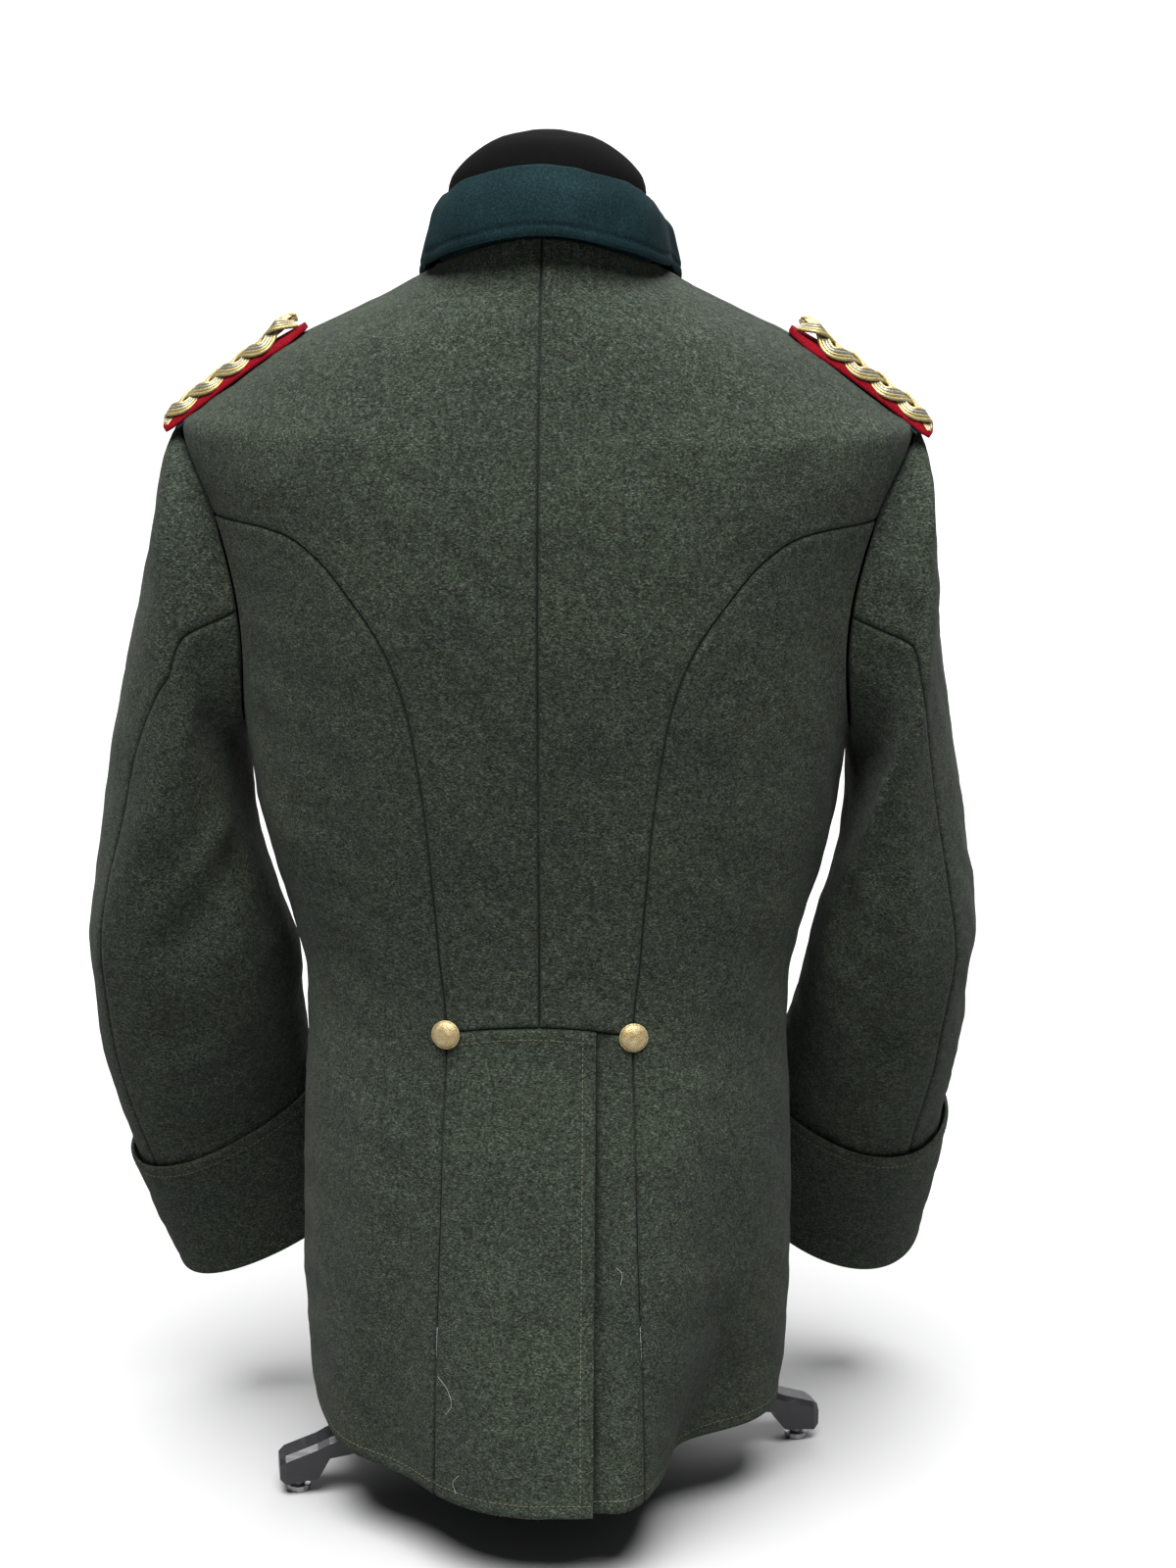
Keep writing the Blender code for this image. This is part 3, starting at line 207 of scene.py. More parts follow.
# Materials: noises in object space feed each shader
def newMaterial(name):
    material = bpy.data.materials.new(name)
    material.use_nodes = True
    return material, material.node_tree, material.node_tree.nodes["Principled BSDF"]


def spacedMaterial(name):
    material, tree, shader = newMaterial(name)
    return material, tree, shader, tree.nodes.new("ShaderNodeTexCoord").outputs["Object"]


def noiseNode(tree, vector, scale, detail=4.0, roughness=0.55):
    noise = tree.nodes.new("ShaderNodeTexNoise")
    noise.inputs["Scale"].default_value = scale
    noise.inputs["Detail"].default_value = detail
    noise.inputs["Roughness"].default_value = roughness
    tree.links.new(vector, noise.inputs["Vector"])
    return noise


def mappedVector(tree, source, scale=(1, 1, 1), rotation=(0, 0, 0)):
    mapping = tree.nodes.new("ShaderNodeMapping")
    mapping.inputs["Scale"].default_value = scale
    mapping.inputs["Rotation"].default_value = rotation
    tree.links.new(source, mapping.inputs["Vector"])
    return mapping.outputs["Vector"]


def rampNode(tree, factor, stops):
    ramp = tree.nodes.new("ShaderNodeValToRGB")
    while len(ramp.color_ramp.elements) < len(stops):
        ramp.color_ramp.elements.new(0.5)
    for element, (position, colour) in zip(ramp.color_ramp.elements, stops):
        element.position = position
        element.color = (*colour, 1.0)
    tree.links.new(factor, ramp.inputs["Fac"])
    return ramp.outputs["Color"]


def mixColour(tree, factor, first, second, kind="MIX"):
    mix = tree.nodes.new("ShaderNodeMix")
    mix.data_type = "RGBA"
    mix.blend_type = kind
    if isinstance(factor, float):
        mix.inputs[0].default_value = factor
    else:
        tree.links.new(factor, mix.inputs[0])
    for socket, value in ((mix.inputs[6], first), (mix.inputs[7], second)):
        if isinstance(value, tuple):
            socket.default_value = (*value, 1.0)
        else:
            tree.links.new(value, socket)
    return mix.outputs[2]


def bumpNode(tree, height, strength, distance, under=None):
    bump = tree.nodes.new("ShaderNodeBump")
    bump.inputs["Strength"].default_value = strength
    bump.inputs["Distance"].default_value = distance
    tree.links.new(height, bump.inputs["Height"])
    if under is not None:
        tree.links.new(under, bump.inputs["Normal"])
    return bump.outputs["Normal"]


woolLook = {
    "dark": (0.0050, 0.0070, 0.0050), "body": (0.0140, 0.0190, 0.0132), "light": (0.0290, 0.0385, 0.0300),
    "pale": (0.056, 0.070, 0.058), "tan": (0.036, 0.036, 0.020), "roughness": 0.95, "sheen": 0.02,
    "clumpScale": 520.0, "fibreScale": (520.0, 1250.0, 950.0), "mottleScale": 210.0, "broadScale": 11.0,
    "clumpDepth": 0.0009, "fibreDepth": 0.0005,
    "fibres": [  # rotation of the fibres, colour
        ((0.3, 0.5, 0.2), "tan"), ((1.2, -0.4, 0.9), "light"),
        ((-0.7, 1.0, 2.0), "pale"), ((0.1, 2.0, -0.6), "dark")],
    "fleck": [(0.56, (0, 0, 0)), (0.68, (0.75, 0.75, 0.75))],
    "mottle": [(0.36, (0.80, 0.80, 0.80)), (0.64, (1.22, 1.22, 1.20))],
    "broad": [(0.35, (0.88, 0.88, 0.90)), (0.70, (1.14, 1.12, 1.06))],
}


def woolCloth(name, look):
    material, tree, shader, place = spacedMaterial(name)
    clump = noiseNode(tree, place, look["clumpScale"], 3.0, 0.75)
    colour = rampNode(tree, clump.outputs["Fac"],
                      [(0.36, look["dark"]), (0.50, look["body"]), (0.66, look["light"])])
    fibreHeights = []
    for rotation, shade in look["fibres"]:
        fibre = noiseNode(tree, mappedVector(tree, place, look["fibreScale"], rotation), 1.0, 1.0)
        fleck = rampNode(tree, fibre.outputs["Fac"], look["fleck"])
        colour = mixColour(tree, fleck, colour, look[shade])
        fibreHeights.append(fibre.outputs["Fac"])
    mottle = noiseNode(tree, place, look["mottleScale"], 2.0)
    blotch = rampNode(tree, mottle.outputs["Fac"], look["mottle"])
    colour = mixColour(tree, 1.0, colour, blotch, "MULTIPLY")
    broad = noiseNode(tree, place, look["broadScale"], 3.0)
    shadeAmount = rampNode(tree, broad.outputs["Fac"], look["broad"])
    colour = mixColour(tree, 1.0, colour, shadeAmount, "MULTIPLY")
    sunk = tree.nodes.new("ShaderNodeAttribute")  # painted shade: how dark the wool is painted in seam grooves and beside lapping edges
    sunk.attribute_name = "sunk"
    colour = mixColour(tree, sunk.outputs["Fac"], colour, look["dark"])
    tree.links.new(colour, shader.inputs["Base Color"])
    shader.inputs["Roughness"].default_value = look["roughness"]
    shader.inputs["Specular IOR Level"].default_value = 0.08
    shader.inputs["Sheen Weight"].default_value = look["sheen"]
    shader.inputs["Sheen Roughness"].default_value = 0.6
    nap = bumpNode(tree, clump.outputs["Fac"], 0.7, look["clumpDepth"])
    for height in fibreHeights:
        nap = bumpNode(tree, height, 0.4, look["fibreDepth"], nap)
    tree.links.new(nap, shader.inputs["Normal"])
    return material


def feltCloth(name, dark, body, light, scale=700.0, bump=0.35, sheen=0.06):
    material, tree, shader, place = spacedMaterial(name)
    fine = noiseNode(tree, place, scale, 5.0, 0.65)
    broad = noiseNode(tree, place, 28.0, 4.0)
    colour = rampNode(tree, fine.outputs["Fac"], [(0.30, dark), (0.52, body), (0.75, light)])
    worn = rampNode(tree, broad.outputs["Fac"], [(0.35, (0.86, 0.86, 0.86)), (0.70, (1.12, 1.12, 1.12))])
    tree.links.new(mixColour(tree, 1.0, colour, worn, "MULTIPLY"), shader.inputs["Base Color"])
    shader.inputs["Roughness"].default_value = 0.92
    shader.inputs["Specular IOR Level"].default_value = 0.04
    shader.inputs["Sheen Weight"].default_value = sheen
    shader.inputs["Sheen Roughness"].default_value = 0.5
    tree.links.new(bumpNode(tree, fine.outputs["Fac"], bump, 0.0004), shader.inputs["Normal"])
    return material


def metalThread(name, dark, body, light, roughness=0.42):
    material, tree, shader, place = spacedMaterial(name)
    fine = noiseNode(tree, place, 1800.0, 3.0)
    broad = noiseNode(tree, place, 120.0, 3.0)
    colour = rampNode(tree, fine.outputs["Fac"], [(0.32, dark), (0.5, body), (0.68, light)])
    tarnish = rampNode(tree, broad.outputs["Fac"], [(0.35, (0.78, 0.74, 0.66)), (0.62, (1.0, 1.0, 1.0))])
    tree.links.new(mixColour(tree, 1.0, colour, tarnish, "MULTIPLY"), shader.inputs["Base Color"])
    shader.inputs["Metallic"].default_value = 0.55
    shader.inputs["Roughness"].default_value = roughness
    tree.links.new(bumpNode(tree, fine.outputs["Fac"], 0.35, 0.0002), shader.inputs["Normal"])
    return material


def pebbledGilt(name):
    material, tree, shader, place = spacedMaterial(name)
    pebble = tree.nodes.new("ShaderNodeTexVoronoi")
    pebble.inputs["Scale"].default_value = 1500.0
    tree.links.new(place, pebble.inputs["Vector"])
    wear = noiseNode(tree, place, 260.0, 4.0)
    dip, top, rubbed = (0.46, 0.37, 0.20), (0.27, 0.20, 0.09), (0.50, 0.45, 0.32)
    colour = rampNode(tree, pebble.outputs["Distance"], [(0.15, dip), (0.55, top)])
    rub = rampNode(tree, wear.outputs["Fac"], [(0.45, (0, 0, 0)), (0.75, (0.6, 0.6, 0.6))])
    colour = mixColour(tree, rub, colour, rubbed)
    tree.links.new(colour, shader.inputs["Base Color"])
    shader.inputs["Metallic"].default_value = 0.8
    rough = rampNode(tree, wear.outputs["Fac"], [(0.3, (0.46, 0.46, 0.46)), (0.7, (0.66, 0.66, 0.66))])
    tree.links.new(rough, shader.inputs["Roughness"])
    tree.links.new(bumpNode(tree, pebble.outputs["Distance"], 0.6, 0.0003), shader.inputs["Normal"])
    return material


def paintedMetal(name, body, light, roughness, metallic):
    material, tree, shader, place = spacedMaterial(name)
    fine = noiseNode(tree, place, 900.0, 3.0)
    scuff = noiseNode(tree, mappedVector(tree, place, (60.0, 60.0, 500.0), (0.4, 0.3, 0.2)), 1.0, 5.0)
    rub = rampNode(tree, scuff.outputs["Fac"], [(0.60, (0, 0, 0)), (0.80, (0.5, 0.5, 0.5))])
    colour = mixColour(tree, rub, body, light)
    tree.links.new(colour, shader.inputs["Base Color"])
    dull = min(roughness + 0.25, 1.0)
    rough = rampNode(tree, scuff.outputs["Fac"], [(0.35, (roughness,) * 3), (0.75, (dull,) * 3)])
    tree.links.new(rough, shader.inputs["Roughness"])
    shader.inputs["Metallic"].default_value = metallic
    tree.links.new(bumpNode(tree, fine.outputs["Fac"], 0.15, 0.0002), shader.inputs["Normal"])
    return material


wool = woolCloth("greyGreenWool", woolLook)
tones = {  # dark, middle and light colour of each cloth and thread
    "collar": ((0.0024, 0.0072, 0.0086), (0.0052, 0.0142, 0.0165), (0.0120, 0.0265, 0.0300)),
    "red": ((0.045, 0.001, 0.002), (0.125, 0.002, 0.006), (0.210, 0.010, 0.016)),
    "velvet": ((0.0004, 0.0004, 0.0004), (0.0010, 0.0010, 0.0010), (0.0030, 0.0030, 0.0030)),
    "gold": ((0.085, 0.060, 0.018), (0.29, 0.235, 0.092), (0.50, 0.45, 0.24)),
    "silver": ((0.02, 0.02, 0.02), (0.17, 0.175, 0.18), (0.42, 0.43, 0.44)),
    "stitch": ((0.040, 0.040, 0.026), (0.085, 0.083, 0.055), (0.15, 0.145, 0.10)),
    "hair": ((0.18, 0.19, 0.15), (0.30, 0.31, 0.26), (0.45, 0.46, 0.40)),
}
collarFelt = feltCloth("darkGreenFelt", *tones["collar"], sheen=0.0)
redCloth = feltCloth("redBadgeCloth", *tones["red"], 1100.0, 0.4, 0.0)
blackVelvet = feltCloth("blackVelvet", *tones["velvet"], 1300.0, 0.2, 0.0)
goldThread = metalThread("paleGoldThread", *tones["gold"], 0.5)
silverThread = metalThread("silverThread", *tones["silver"], 0.45)
stitchThread = feltCloth("sewingThread", *tones["stitch"], 2500.0, 0.2, 0.0)
paleHair = feltCloth("looseWoolHair", *tones["hair"], 2500.0, 0.1)
gilt = pebbledGilt("pebbledGilt")
blackPaint = paintedMetal("blackLegPaint", (0.010, 0.010, 0.012), (0.06, 0.06, 0.065), 0.32, 0.0)
greySteel = paintedMetal("greyFootSteel", (0.36, 0.36, 0.37), (0.60, 0.60, 0.61), 0.30, 0.9)
print("materials made")


# The body of the tunic: one surface that all its cut pieces lie on
bodyCut = {
    "rows": [  # height, half width, depth behind and before the side line, roundness of the back
        (0.040, 0.156, 0.168, 0.138, 1.70), (0.100, 0.162, 0.157, 0.134, 1.85),
        (0.160, 0.164, 0.146, 0.130, 2.00), (0.220, 0.1635, 0.134, 0.127, 2.15),
        (0.280, 0.162, 0.122, 0.124, 2.30), (0.335, 0.1585, 0.110, 0.122, 2.35),
        (0.370, 0.1595, 0.106, 0.122, 2.35), (0.413, 0.170, 0.108, 0.127, 2.35),
        (0.480, 0.1875, 0.116, 0.138, 2.35), (0.530, 0.194, 0.122, 0.142, 2.35),
        (0.570, 0.199, 0.126, 0.144, 2.35), (0.620, 0.205, 0.130, 0.143, 2.35),
        (0.680, 0.2165, 0.1285, 0.134, 2.35), (0.733, 0.231, 0.119, 0.118, 2.35),
        (0.745, 0.2165, 0.115, 0.112, 2.35), (0.760, 0.195, 0.110, 0.104, 2.35),
        (0.775, 0.1745, 0.105, 0.095, 2.35), (0.785, 0.158, 0.101, 0.089, 2.35),
        (0.800, 0.127, 0.096, 0.080, 2.30), (0.812, 0.102, 0.091, 0.074, 2.25),
        (0.822, 0.084, 0.086, 0.069, 2.20), (0.829, 0.071, 0.082, 0.066, 2.15),
        (0.845, 0.060, 0.073, 0.060, 2.10), (0.862, 0.052, 0.064, 0.055, 2.10)],
    "folds": [  # angle, half spread, middle height, half height, depth
        (-36.0, 18.0, 0.030, 0.110, -0.040), (-68.0, 9.0, 0.040, 0.130, 0.009),
        (-128.0, 12.0, 0.050, 0.100, -0.007), (-150.0, 10.0, 0.040, 0.100, 0.004),
        (-32.0, 9.0, 0.500, 0.070, 0.004), (-146.0, 9.0, 0.510, 0.080, 0.006),
        (-160.0, 9.0, 0.430, 0.060, -0.003), (38.0, 12.0, 0.060, 0.120, 0.007),
        (142.0, 12.0, 0.060, 0.120, 0.007), (60.0, 10.0, 0.050, 0.100, -0.005),
        (120.0, 10.0, 0.050, 0.100, -0.005)],
    "frontCorner": 2.35, "hem": 0.050, "hemLift": 0.011, "waist": 0.362, "waistDip": 0.006,
    "shoulderTip": 0.733, "neckBack": 0.856, "neckSide": 0.833, "neckFront": 0.797,
    "ventEdge": 0.036, "ventUnder": -0.022, "frontLap": 0.030, "sideBackHem": 0.0690,
    "frontSeamDegrees": 30.0,
    "wall": 0.0020, "lap": 0.0026, "settling": 4,
    "princess": [
        (0.0595, 0.356), (0.0625, 0.394), (0.0660, 0.440), (0.0695, 0.486), (0.0745, 0.529),
        (0.0820, 0.572), (0.0950, 0.608), (0.1150, 0.638), (0.1400, 0.666), (0.1680, 0.679)],
    "armhole": [  # height, depth, from the shoulder tip down the back and up the front
        (0.7330, 0.000), (0.7270, -0.018), (0.7120, -0.033), (0.6960, -0.042), (0.6800, -0.047),
        (0.6550, -0.053), (0.6250, -0.056), (0.5950, -0.053), (0.5680, -0.043), (0.5460, -0.026),
        (0.5340, -0.004), (0.5380, 0.018), (0.5520, 0.037), (0.5720, 0.050), (0.6000, 0.061),
        (0.6300, 0.067), (0.6600, 0.066), (0.6900, 0.056), (0.7120, 0.040), (0.7270, 0.021)],
    "backCorner": 4, "frontCornerRow": 13, "armholeMiddle": (0.634, 0.005),
    "backCentre": [(0, 0.362), (5, 0.580), (10, 0.762), (14, 0.817), (19, 0.856)],
}


def bodyPoint(phi, z):
    phi, z = np.asarray(phi, dtype=float), np.asarray(z, dtype=float)
    values = readRows(bodyCut["rows"], z)
    half, behind, before, roundness = (values[..., k] for k in range(4))
    back = np.sin(phi) < 0
    corner = np.where(back, roundness, bodyCut["frontCorner"])
    depth = np.where(back, behind, before)
    reach = (np.abs(np.cos(phi)) ** corner + np.abs(np.sin(phi)) ** corner) ** (-1.0 / corner)
    x, y = half * reach * np.cos(phi), depth * reach * np.sin(phi)
    swell = 0.0
    for angle, spread, centre, halfHeight, amount in bodyCut["folds"]:
        nearFold = bell(turnBetween(np.degrees(phi), angle), spread)
        swell = swell + amount * nearFold * bell(z - centre, halfHeight)
    away = np.hypot(x, y)
    return np.stack([x + x / away * swell, y + y / away * swell, z + 0 * x], -1)


def phiAtX(x, z, back=True):
    half, roundness = readRows(bodyCut["rows"], z)[[0, 3]]
    corner = roundness if back else bodyCut["frontCorner"]
    across = min(abs(x) / half, 1.0)
    along = (1.0 - across ** corner) ** (1.0 / corner)
    return math.atan2(-along if back else along, math.copysign(across, x))


def phiAtY(y, z):
    if y == 0:
        return 0.0
    behind, before, roundness = readRows(bodyCut["rows"], z)[1:]
    corner = roundness if y < 0 else bodyCut["frontCorner"]
    along = min(abs(y) / (behind if y < 0 else before), 1.0)
    return math.atan2(math.copysign(along, y), (1.0 - along ** corner) ** (1.0 / corner))


def neckHeight(phi, back=None):
    side, front = bodyCut["neckSide"], bodyCut["neckFront"]
    rise = np.where(np.sin(phi) < 0, (back or bodyCut["neckBack"]) - side, front - side)
    return side + rise * np.abs(np.sin(phi)) ** (2.0 if back else 1.5)


def hemHeight(phi):
    return bodyCut["hem"] + bodyCut["hemLift"] * np.cos(phi) ** 2


def fillPatch(left, right, bottom, top):
    left, right, bottom, top = (np.array(line, dtype=float) for line in (left, right, bottom, top))
    t = np.linspace(0, 1, len(left))[:, None, None]
    s = np.linspace(0, 1, len(bottom))[None, :, None]
    across = left[:, None] * (1 - s) + right[:, None] * s
    upward = bottom[None] * (1 - t) + top[None] * t
    corners = (left[0] * (1 - s) + right[0] * s) * (1 - t) + (left[-1] * (1 - s) + right[-1] * s) * t
    return across + upward - corners


def hemNode(x):
    z = bodyCut["hem"]
    for _ in range(bodyCut["settling"]):
        phi = phiAtX(x, z)
        z = float(hemHeight(phi))
    return (phi, z)


def sideBackX(z):
    topX, topZ = bodyCut["princess"][0]
    return topX + (bodyCut["sideBackHem"] - topX) * (topZ - z) / (topZ - bodyCut["hem"])


def sideBackSeam():
    start = hemNode(sideBackX(bodyCut["hem"]))[1]
    return [(phiAtX(sideBackX(z), z), z) for z in stepsBetween(start, bodyCut["princess"][0][1], 6)]


def armholeNodes(first, last):
    rows = bodyCut["armhole"] + bodyCut["armhole"][:1]
    return [(phiAtY(depth, z), z) for z, depth in rows[first:last + 1]]


def princessSeam():
    corner = bodyCut["backCorner"]
    return [(phiAtX(x, z), z) for x, z in bodyCut["princess"]] + armholeNodes(corner, corner)


def ridgeNodes():
    return [(0.0, z) for z in stepsBetween(bodyCut["shoulderTip"], bodyCut["neckSide"], 5)]


def neckline(start, end, count):
    return [(phi, float(neckHeight(phi))) for phi in stepsBetween(start, end, count)]


def waistNode(x):
    z = bodyCut["waist"] - bodyCut["waistDip"] * (abs(x) / bodyCut["princess"][0][0]) ** 2
    return (phiAtX(x, z), z)


def backGrid():
    outside = princessSeam() + armholeNodes(0, bodyCut["backCorner"])[::-1][1:] + ridgeNodes()[1:]
    waist = [waistNode(x) for x in stepsBetween(0.0, bodyCut["princess"][0][0], 6)]
    centre = [(-math.pi / 2, float(readRows(bodyCut["backCentre"], row)[0])) for row in range(len(outside))]
    return fillPatch(centre, outside, waist, neckline(-math.pi / 2, 0.0, 6))


def frontSeam():
    top = armholeNodes(bodyCut["frontCornerRow"], bodyCut["frontCornerRow"])[0]
    lowPhi = math.radians(bodyCut["frontSeamDegrees"])
    low = (lowPhi, float(hemHeight(lowPhi)))
    count = len(sideBackSeam()) + len(princessSeam()) - 2
    return list(zip(stepsBetween(low[0], top[0], count), stepsBetween(low[1], top[1], count)))


def sideGrid():
    back = sideBackSeam() + princessSeam()[1:]
    front = frontSeam()
    underarm = armholeNodes(bodyCut["backCorner"], bodyCut["frontCornerRow"])
    hem = [(phi, float(hemHeight(phi))) for phi in stepsBetween(back[0][0], front[0][0], len(underarm) - 1)]
    return fillPatch(back, front, hem, underarm)


def frontLine(x, count):
    nodes = []
    for i in range(count + 1):
        t = i / count
        z = bodyCut["hem"] * (1 - t) + bodyCut["neckFront"] * t
        for _ in range(bodyCut["settling"]):
            phi = phiAtX(x, z, back=False)
            z = float(hemHeight(phi)) * (1 - t) + float(neckHeight(phi)) * t
        nodes.append((phi, z))
    return nodes


def frontGrid():
    armhole = armholeNodes(bodyCut["frontCornerRow"], len(bodyCut["armhole"]))
    outside = frontSeam() + armhole[1:] + ridgeNodes()[1:]
    count = len(outside) - 1
    lapLine = frontLine(bodyCut["frontLap"], count)
    hem = [(phi, float(hemHeight(phi))) for phi in stepsBetween(outside[0][0], lapLine[0][0], 5)]
    patch = fillPatch(outside, lapLine, hem, neckline(0.0, lapLine[-1][0], 5))
    rest = np.stack([frontLine(0.0, count), frontLine(-bodyCut["frontLap"], count)], axis=1)
    return np.concatenate([patch, rest], axis=1)


def skirtGrid(side, toX, columns):
    seam = sideBackSeam()
    edgeSide = seam if side > 0 else [(-math.pi - phi, z) for phi, z in seam]
    hem = [hemNode(x) for x in stepsBetween(side * sideBackX(bodyCut["hem"]), toX, columns)]
    top = [waistNode(x) for x in stepsBetween(side * bodyCut["princess"][0][0], toX, columns)]
    hem[0], top[0] = edgeSide[0], edgeSide[-1]
    edge = [(phiAtX(toX, z), z) for z in stepsBetween(hem[-1][1], top[-1][1], len(seam) - 1)]
    return fillPatch(edgeSide, edge, hem, top)


# Sleeves: rings from the armhole to the cuff
sleeveCut = {
    "corner": 2.15, "foreSeam": -132.0, "cuffRing": 13.3, "cuffFlare": 0.0025, "headInset": 0.0016,
    "headLift": 0.0004,
    "hindSeam": [
        (0, 104.0), (1, 100.0), (2, 96.0), (3, 90.0), (4, 76.0), (5, 62.0), (6, 51.0), (7, 43.0), (8, 35.0),
        (9, 31.0), (16, 27.0)],
    "left": [  # outer line x y z, inner line x y z, half depth
        (0.2385, 0.004, 0.7240, 0.1985, 0.006, 0.5260, 0.064),
        (0.2435, 0.006, 0.6970, 0.2010, 0.006, 0.5170, 0.068),
        (0.2510, 0.008, 0.6580, 0.2010, 0.008, 0.5040, 0.070),
        (0.2620, 0.009, 0.6190, 0.1990, 0.011, 0.4890, 0.070),
        (0.2740, 0.010, 0.5760, 0.1965, 0.016, 0.4700, 0.068),
        (0.2840, 0.010, 0.5320, 0.1925, 0.021, 0.4500, 0.065),
        (0.2925, 0.010, 0.4840, 0.1865, 0.027, 0.4270, 0.062),
        (0.3010, 0.012, 0.4340, 0.1790, 0.033, 0.4030, 0.059),
        (0.3075, 0.015, 0.3860, 0.1720, 0.040, 0.3780, 0.056),
        (0.3080, 0.023, 0.3420, 0.1700, 0.048, 0.3530, 0.054),
        (0.3055, 0.034, 0.2990, 0.1700, 0.058, 0.3300, 0.050),
        (0.2990, 0.045, 0.2560, 0.1700, 0.072, 0.3070, 0.046),
        (0.2905, 0.056, 0.2190, 0.1680, 0.088, 0.2840, 0.042),
        (0.2810, 0.068, 0.1820, 0.1605, 0.102, 0.2480, 0.040),
        (0.2715, 0.080, 0.1450, 0.1515, 0.115, 0.2085, 0.039),
        (0.2615, 0.091, 0.1120, 0.1420, 0.128, 0.1680, 0.038)],
    "right": [
        (0.2365, 0.004, 0.7240, 0.1985, 0.006, 0.5260, 0.064),
        (0.2365, 0.006, 0.7000, 0.2010, 0.006, 0.5170, 0.068),
        (0.2420, 0.008, 0.6630, 0.2005, 0.008, 0.5040, 0.071),
        (0.2475, 0.009, 0.6230, 0.1985, 0.011, 0.4890, 0.072),
        (0.2540, 0.010, 0.5810, 0.1955, 0.015, 0.4710, 0.070),
        (0.2620, 0.010, 0.5370, 0.1915, 0.020, 0.4510, 0.067),
        (0.2690, 0.010, 0.4920, 0.1860, 0.026, 0.4280, 0.064),
        (0.2765, 0.011, 0.4420, 0.1795, 0.034, 0.4040, 0.062),
        (0.2824, 0.015, 0.3950, 0.1745, 0.043, 0.3800, 0.060),
        (0.2795, 0.024, 0.3550, 0.1715, 0.054, 0.3580, 0.058),
        (0.2765, 0.036, 0.3170, 0.1690, 0.068, 0.3370, 0.056),
        (0.2725, 0.051, 0.2800, 0.1650, 0.086, 0.3150, 0.054),
        (0.2660, 0.069, 0.2400, 0.1590, 0.106, 0.2870, 0.052),
        (0.2620, 0.090, 0.1980, 0.1550, 0.129, 0.2460, 0.051),
        (0.2580, 0.112, 0.1575, 0.1500, 0.151, 0.2060, 0.050),
        (0.2535, 0.134, 0.1160, 0.1450, 0.172, 0.1660, 0.050)],
    "leftFolds": [  # angle, half spread, ring, half length in rings, lean, depth
        (60.0, 14.0, 7.0, 2.2, -14.0, 0.0055), (92.0, 14.0, 7.4, 2.2, -12.0, -0.0060),
        (120.0, 20.0, 8.6, 1.0, 0.0, 0.0050), (75.0, 18.0, 10.4, 0.9, 0.0, -0.0050),
        (60.0, 26.0, 4.4, 0.8, -6.0, -0.0025), (-60.0, 16.0, 8.4, 1.0, 10.0, -0.0060),
        (-75.0, 18.0, 9.6, 0.9, 8.0, 0.0050), (-110.0, 18.0, 8.4, 0.9, 0.0, -0.0055),
        (-70.0, 20.0, 5.5, 1.2, 8.0, 0.0040)],
    "rightFolds": [
        (72.0, 13.0, 6.5, 3.4, -2.0, 0.0060), (100.0, 14.0, 6.8, 3.2, -2.0, -0.0075),
        (130.0, 14.0, 7.2, 2.6, 0.0, 0.0035), (70.0, 20.0, 10.6, 0.9, 0.0, -0.0050),
        (-60.0, 16.0, 8.6, 1.0, 10.0, -0.0060), (-78.0, 18.0, 9.8, 0.9, 8.0, 0.0050),
        (-105.0, 18.0, 8.6, 0.9, 0.0, -0.0050), (-72.0, 20.0, 5.2, 1.2, 8.0, 0.0040)],
}


def armholeRing(alpha):
    middleZ, middleY = bodyCut["armholeMiddle"]
    nodes = []
    for z, depth in bodyCut["armhole"]:
        angle = math.atan2(-(depth - middleY), z - middleZ)
        phi = phiAtY(depth, z)
        point = bodyPoint(phi, z)
        normal = crossSlopes(bodyPoint, phi, z)
        normal /= np.linalg.norm(normal)
        away = np.array([0.0, middleY - point[1], middleZ - point[2]])
        away -= normal * away.dot(normal)
        away /= np.linalg.norm(away)
        head = point + away * sleeveCut["headInset"] + normal * sleeveCut["headLift"]
        nodes.append((angle % (2 * math.pi), *head))
    nodes.sort()
    before = [(n[0] - 2 * math.pi, *n[1:]) for n in nodes[-3:]]
    after = [(n[0] + 2 * math.pi, *n[1:]) for n in nodes[:3]]
    return readRows(before + nodes + after, np.asarray(alpha) % (2 * math.pi))


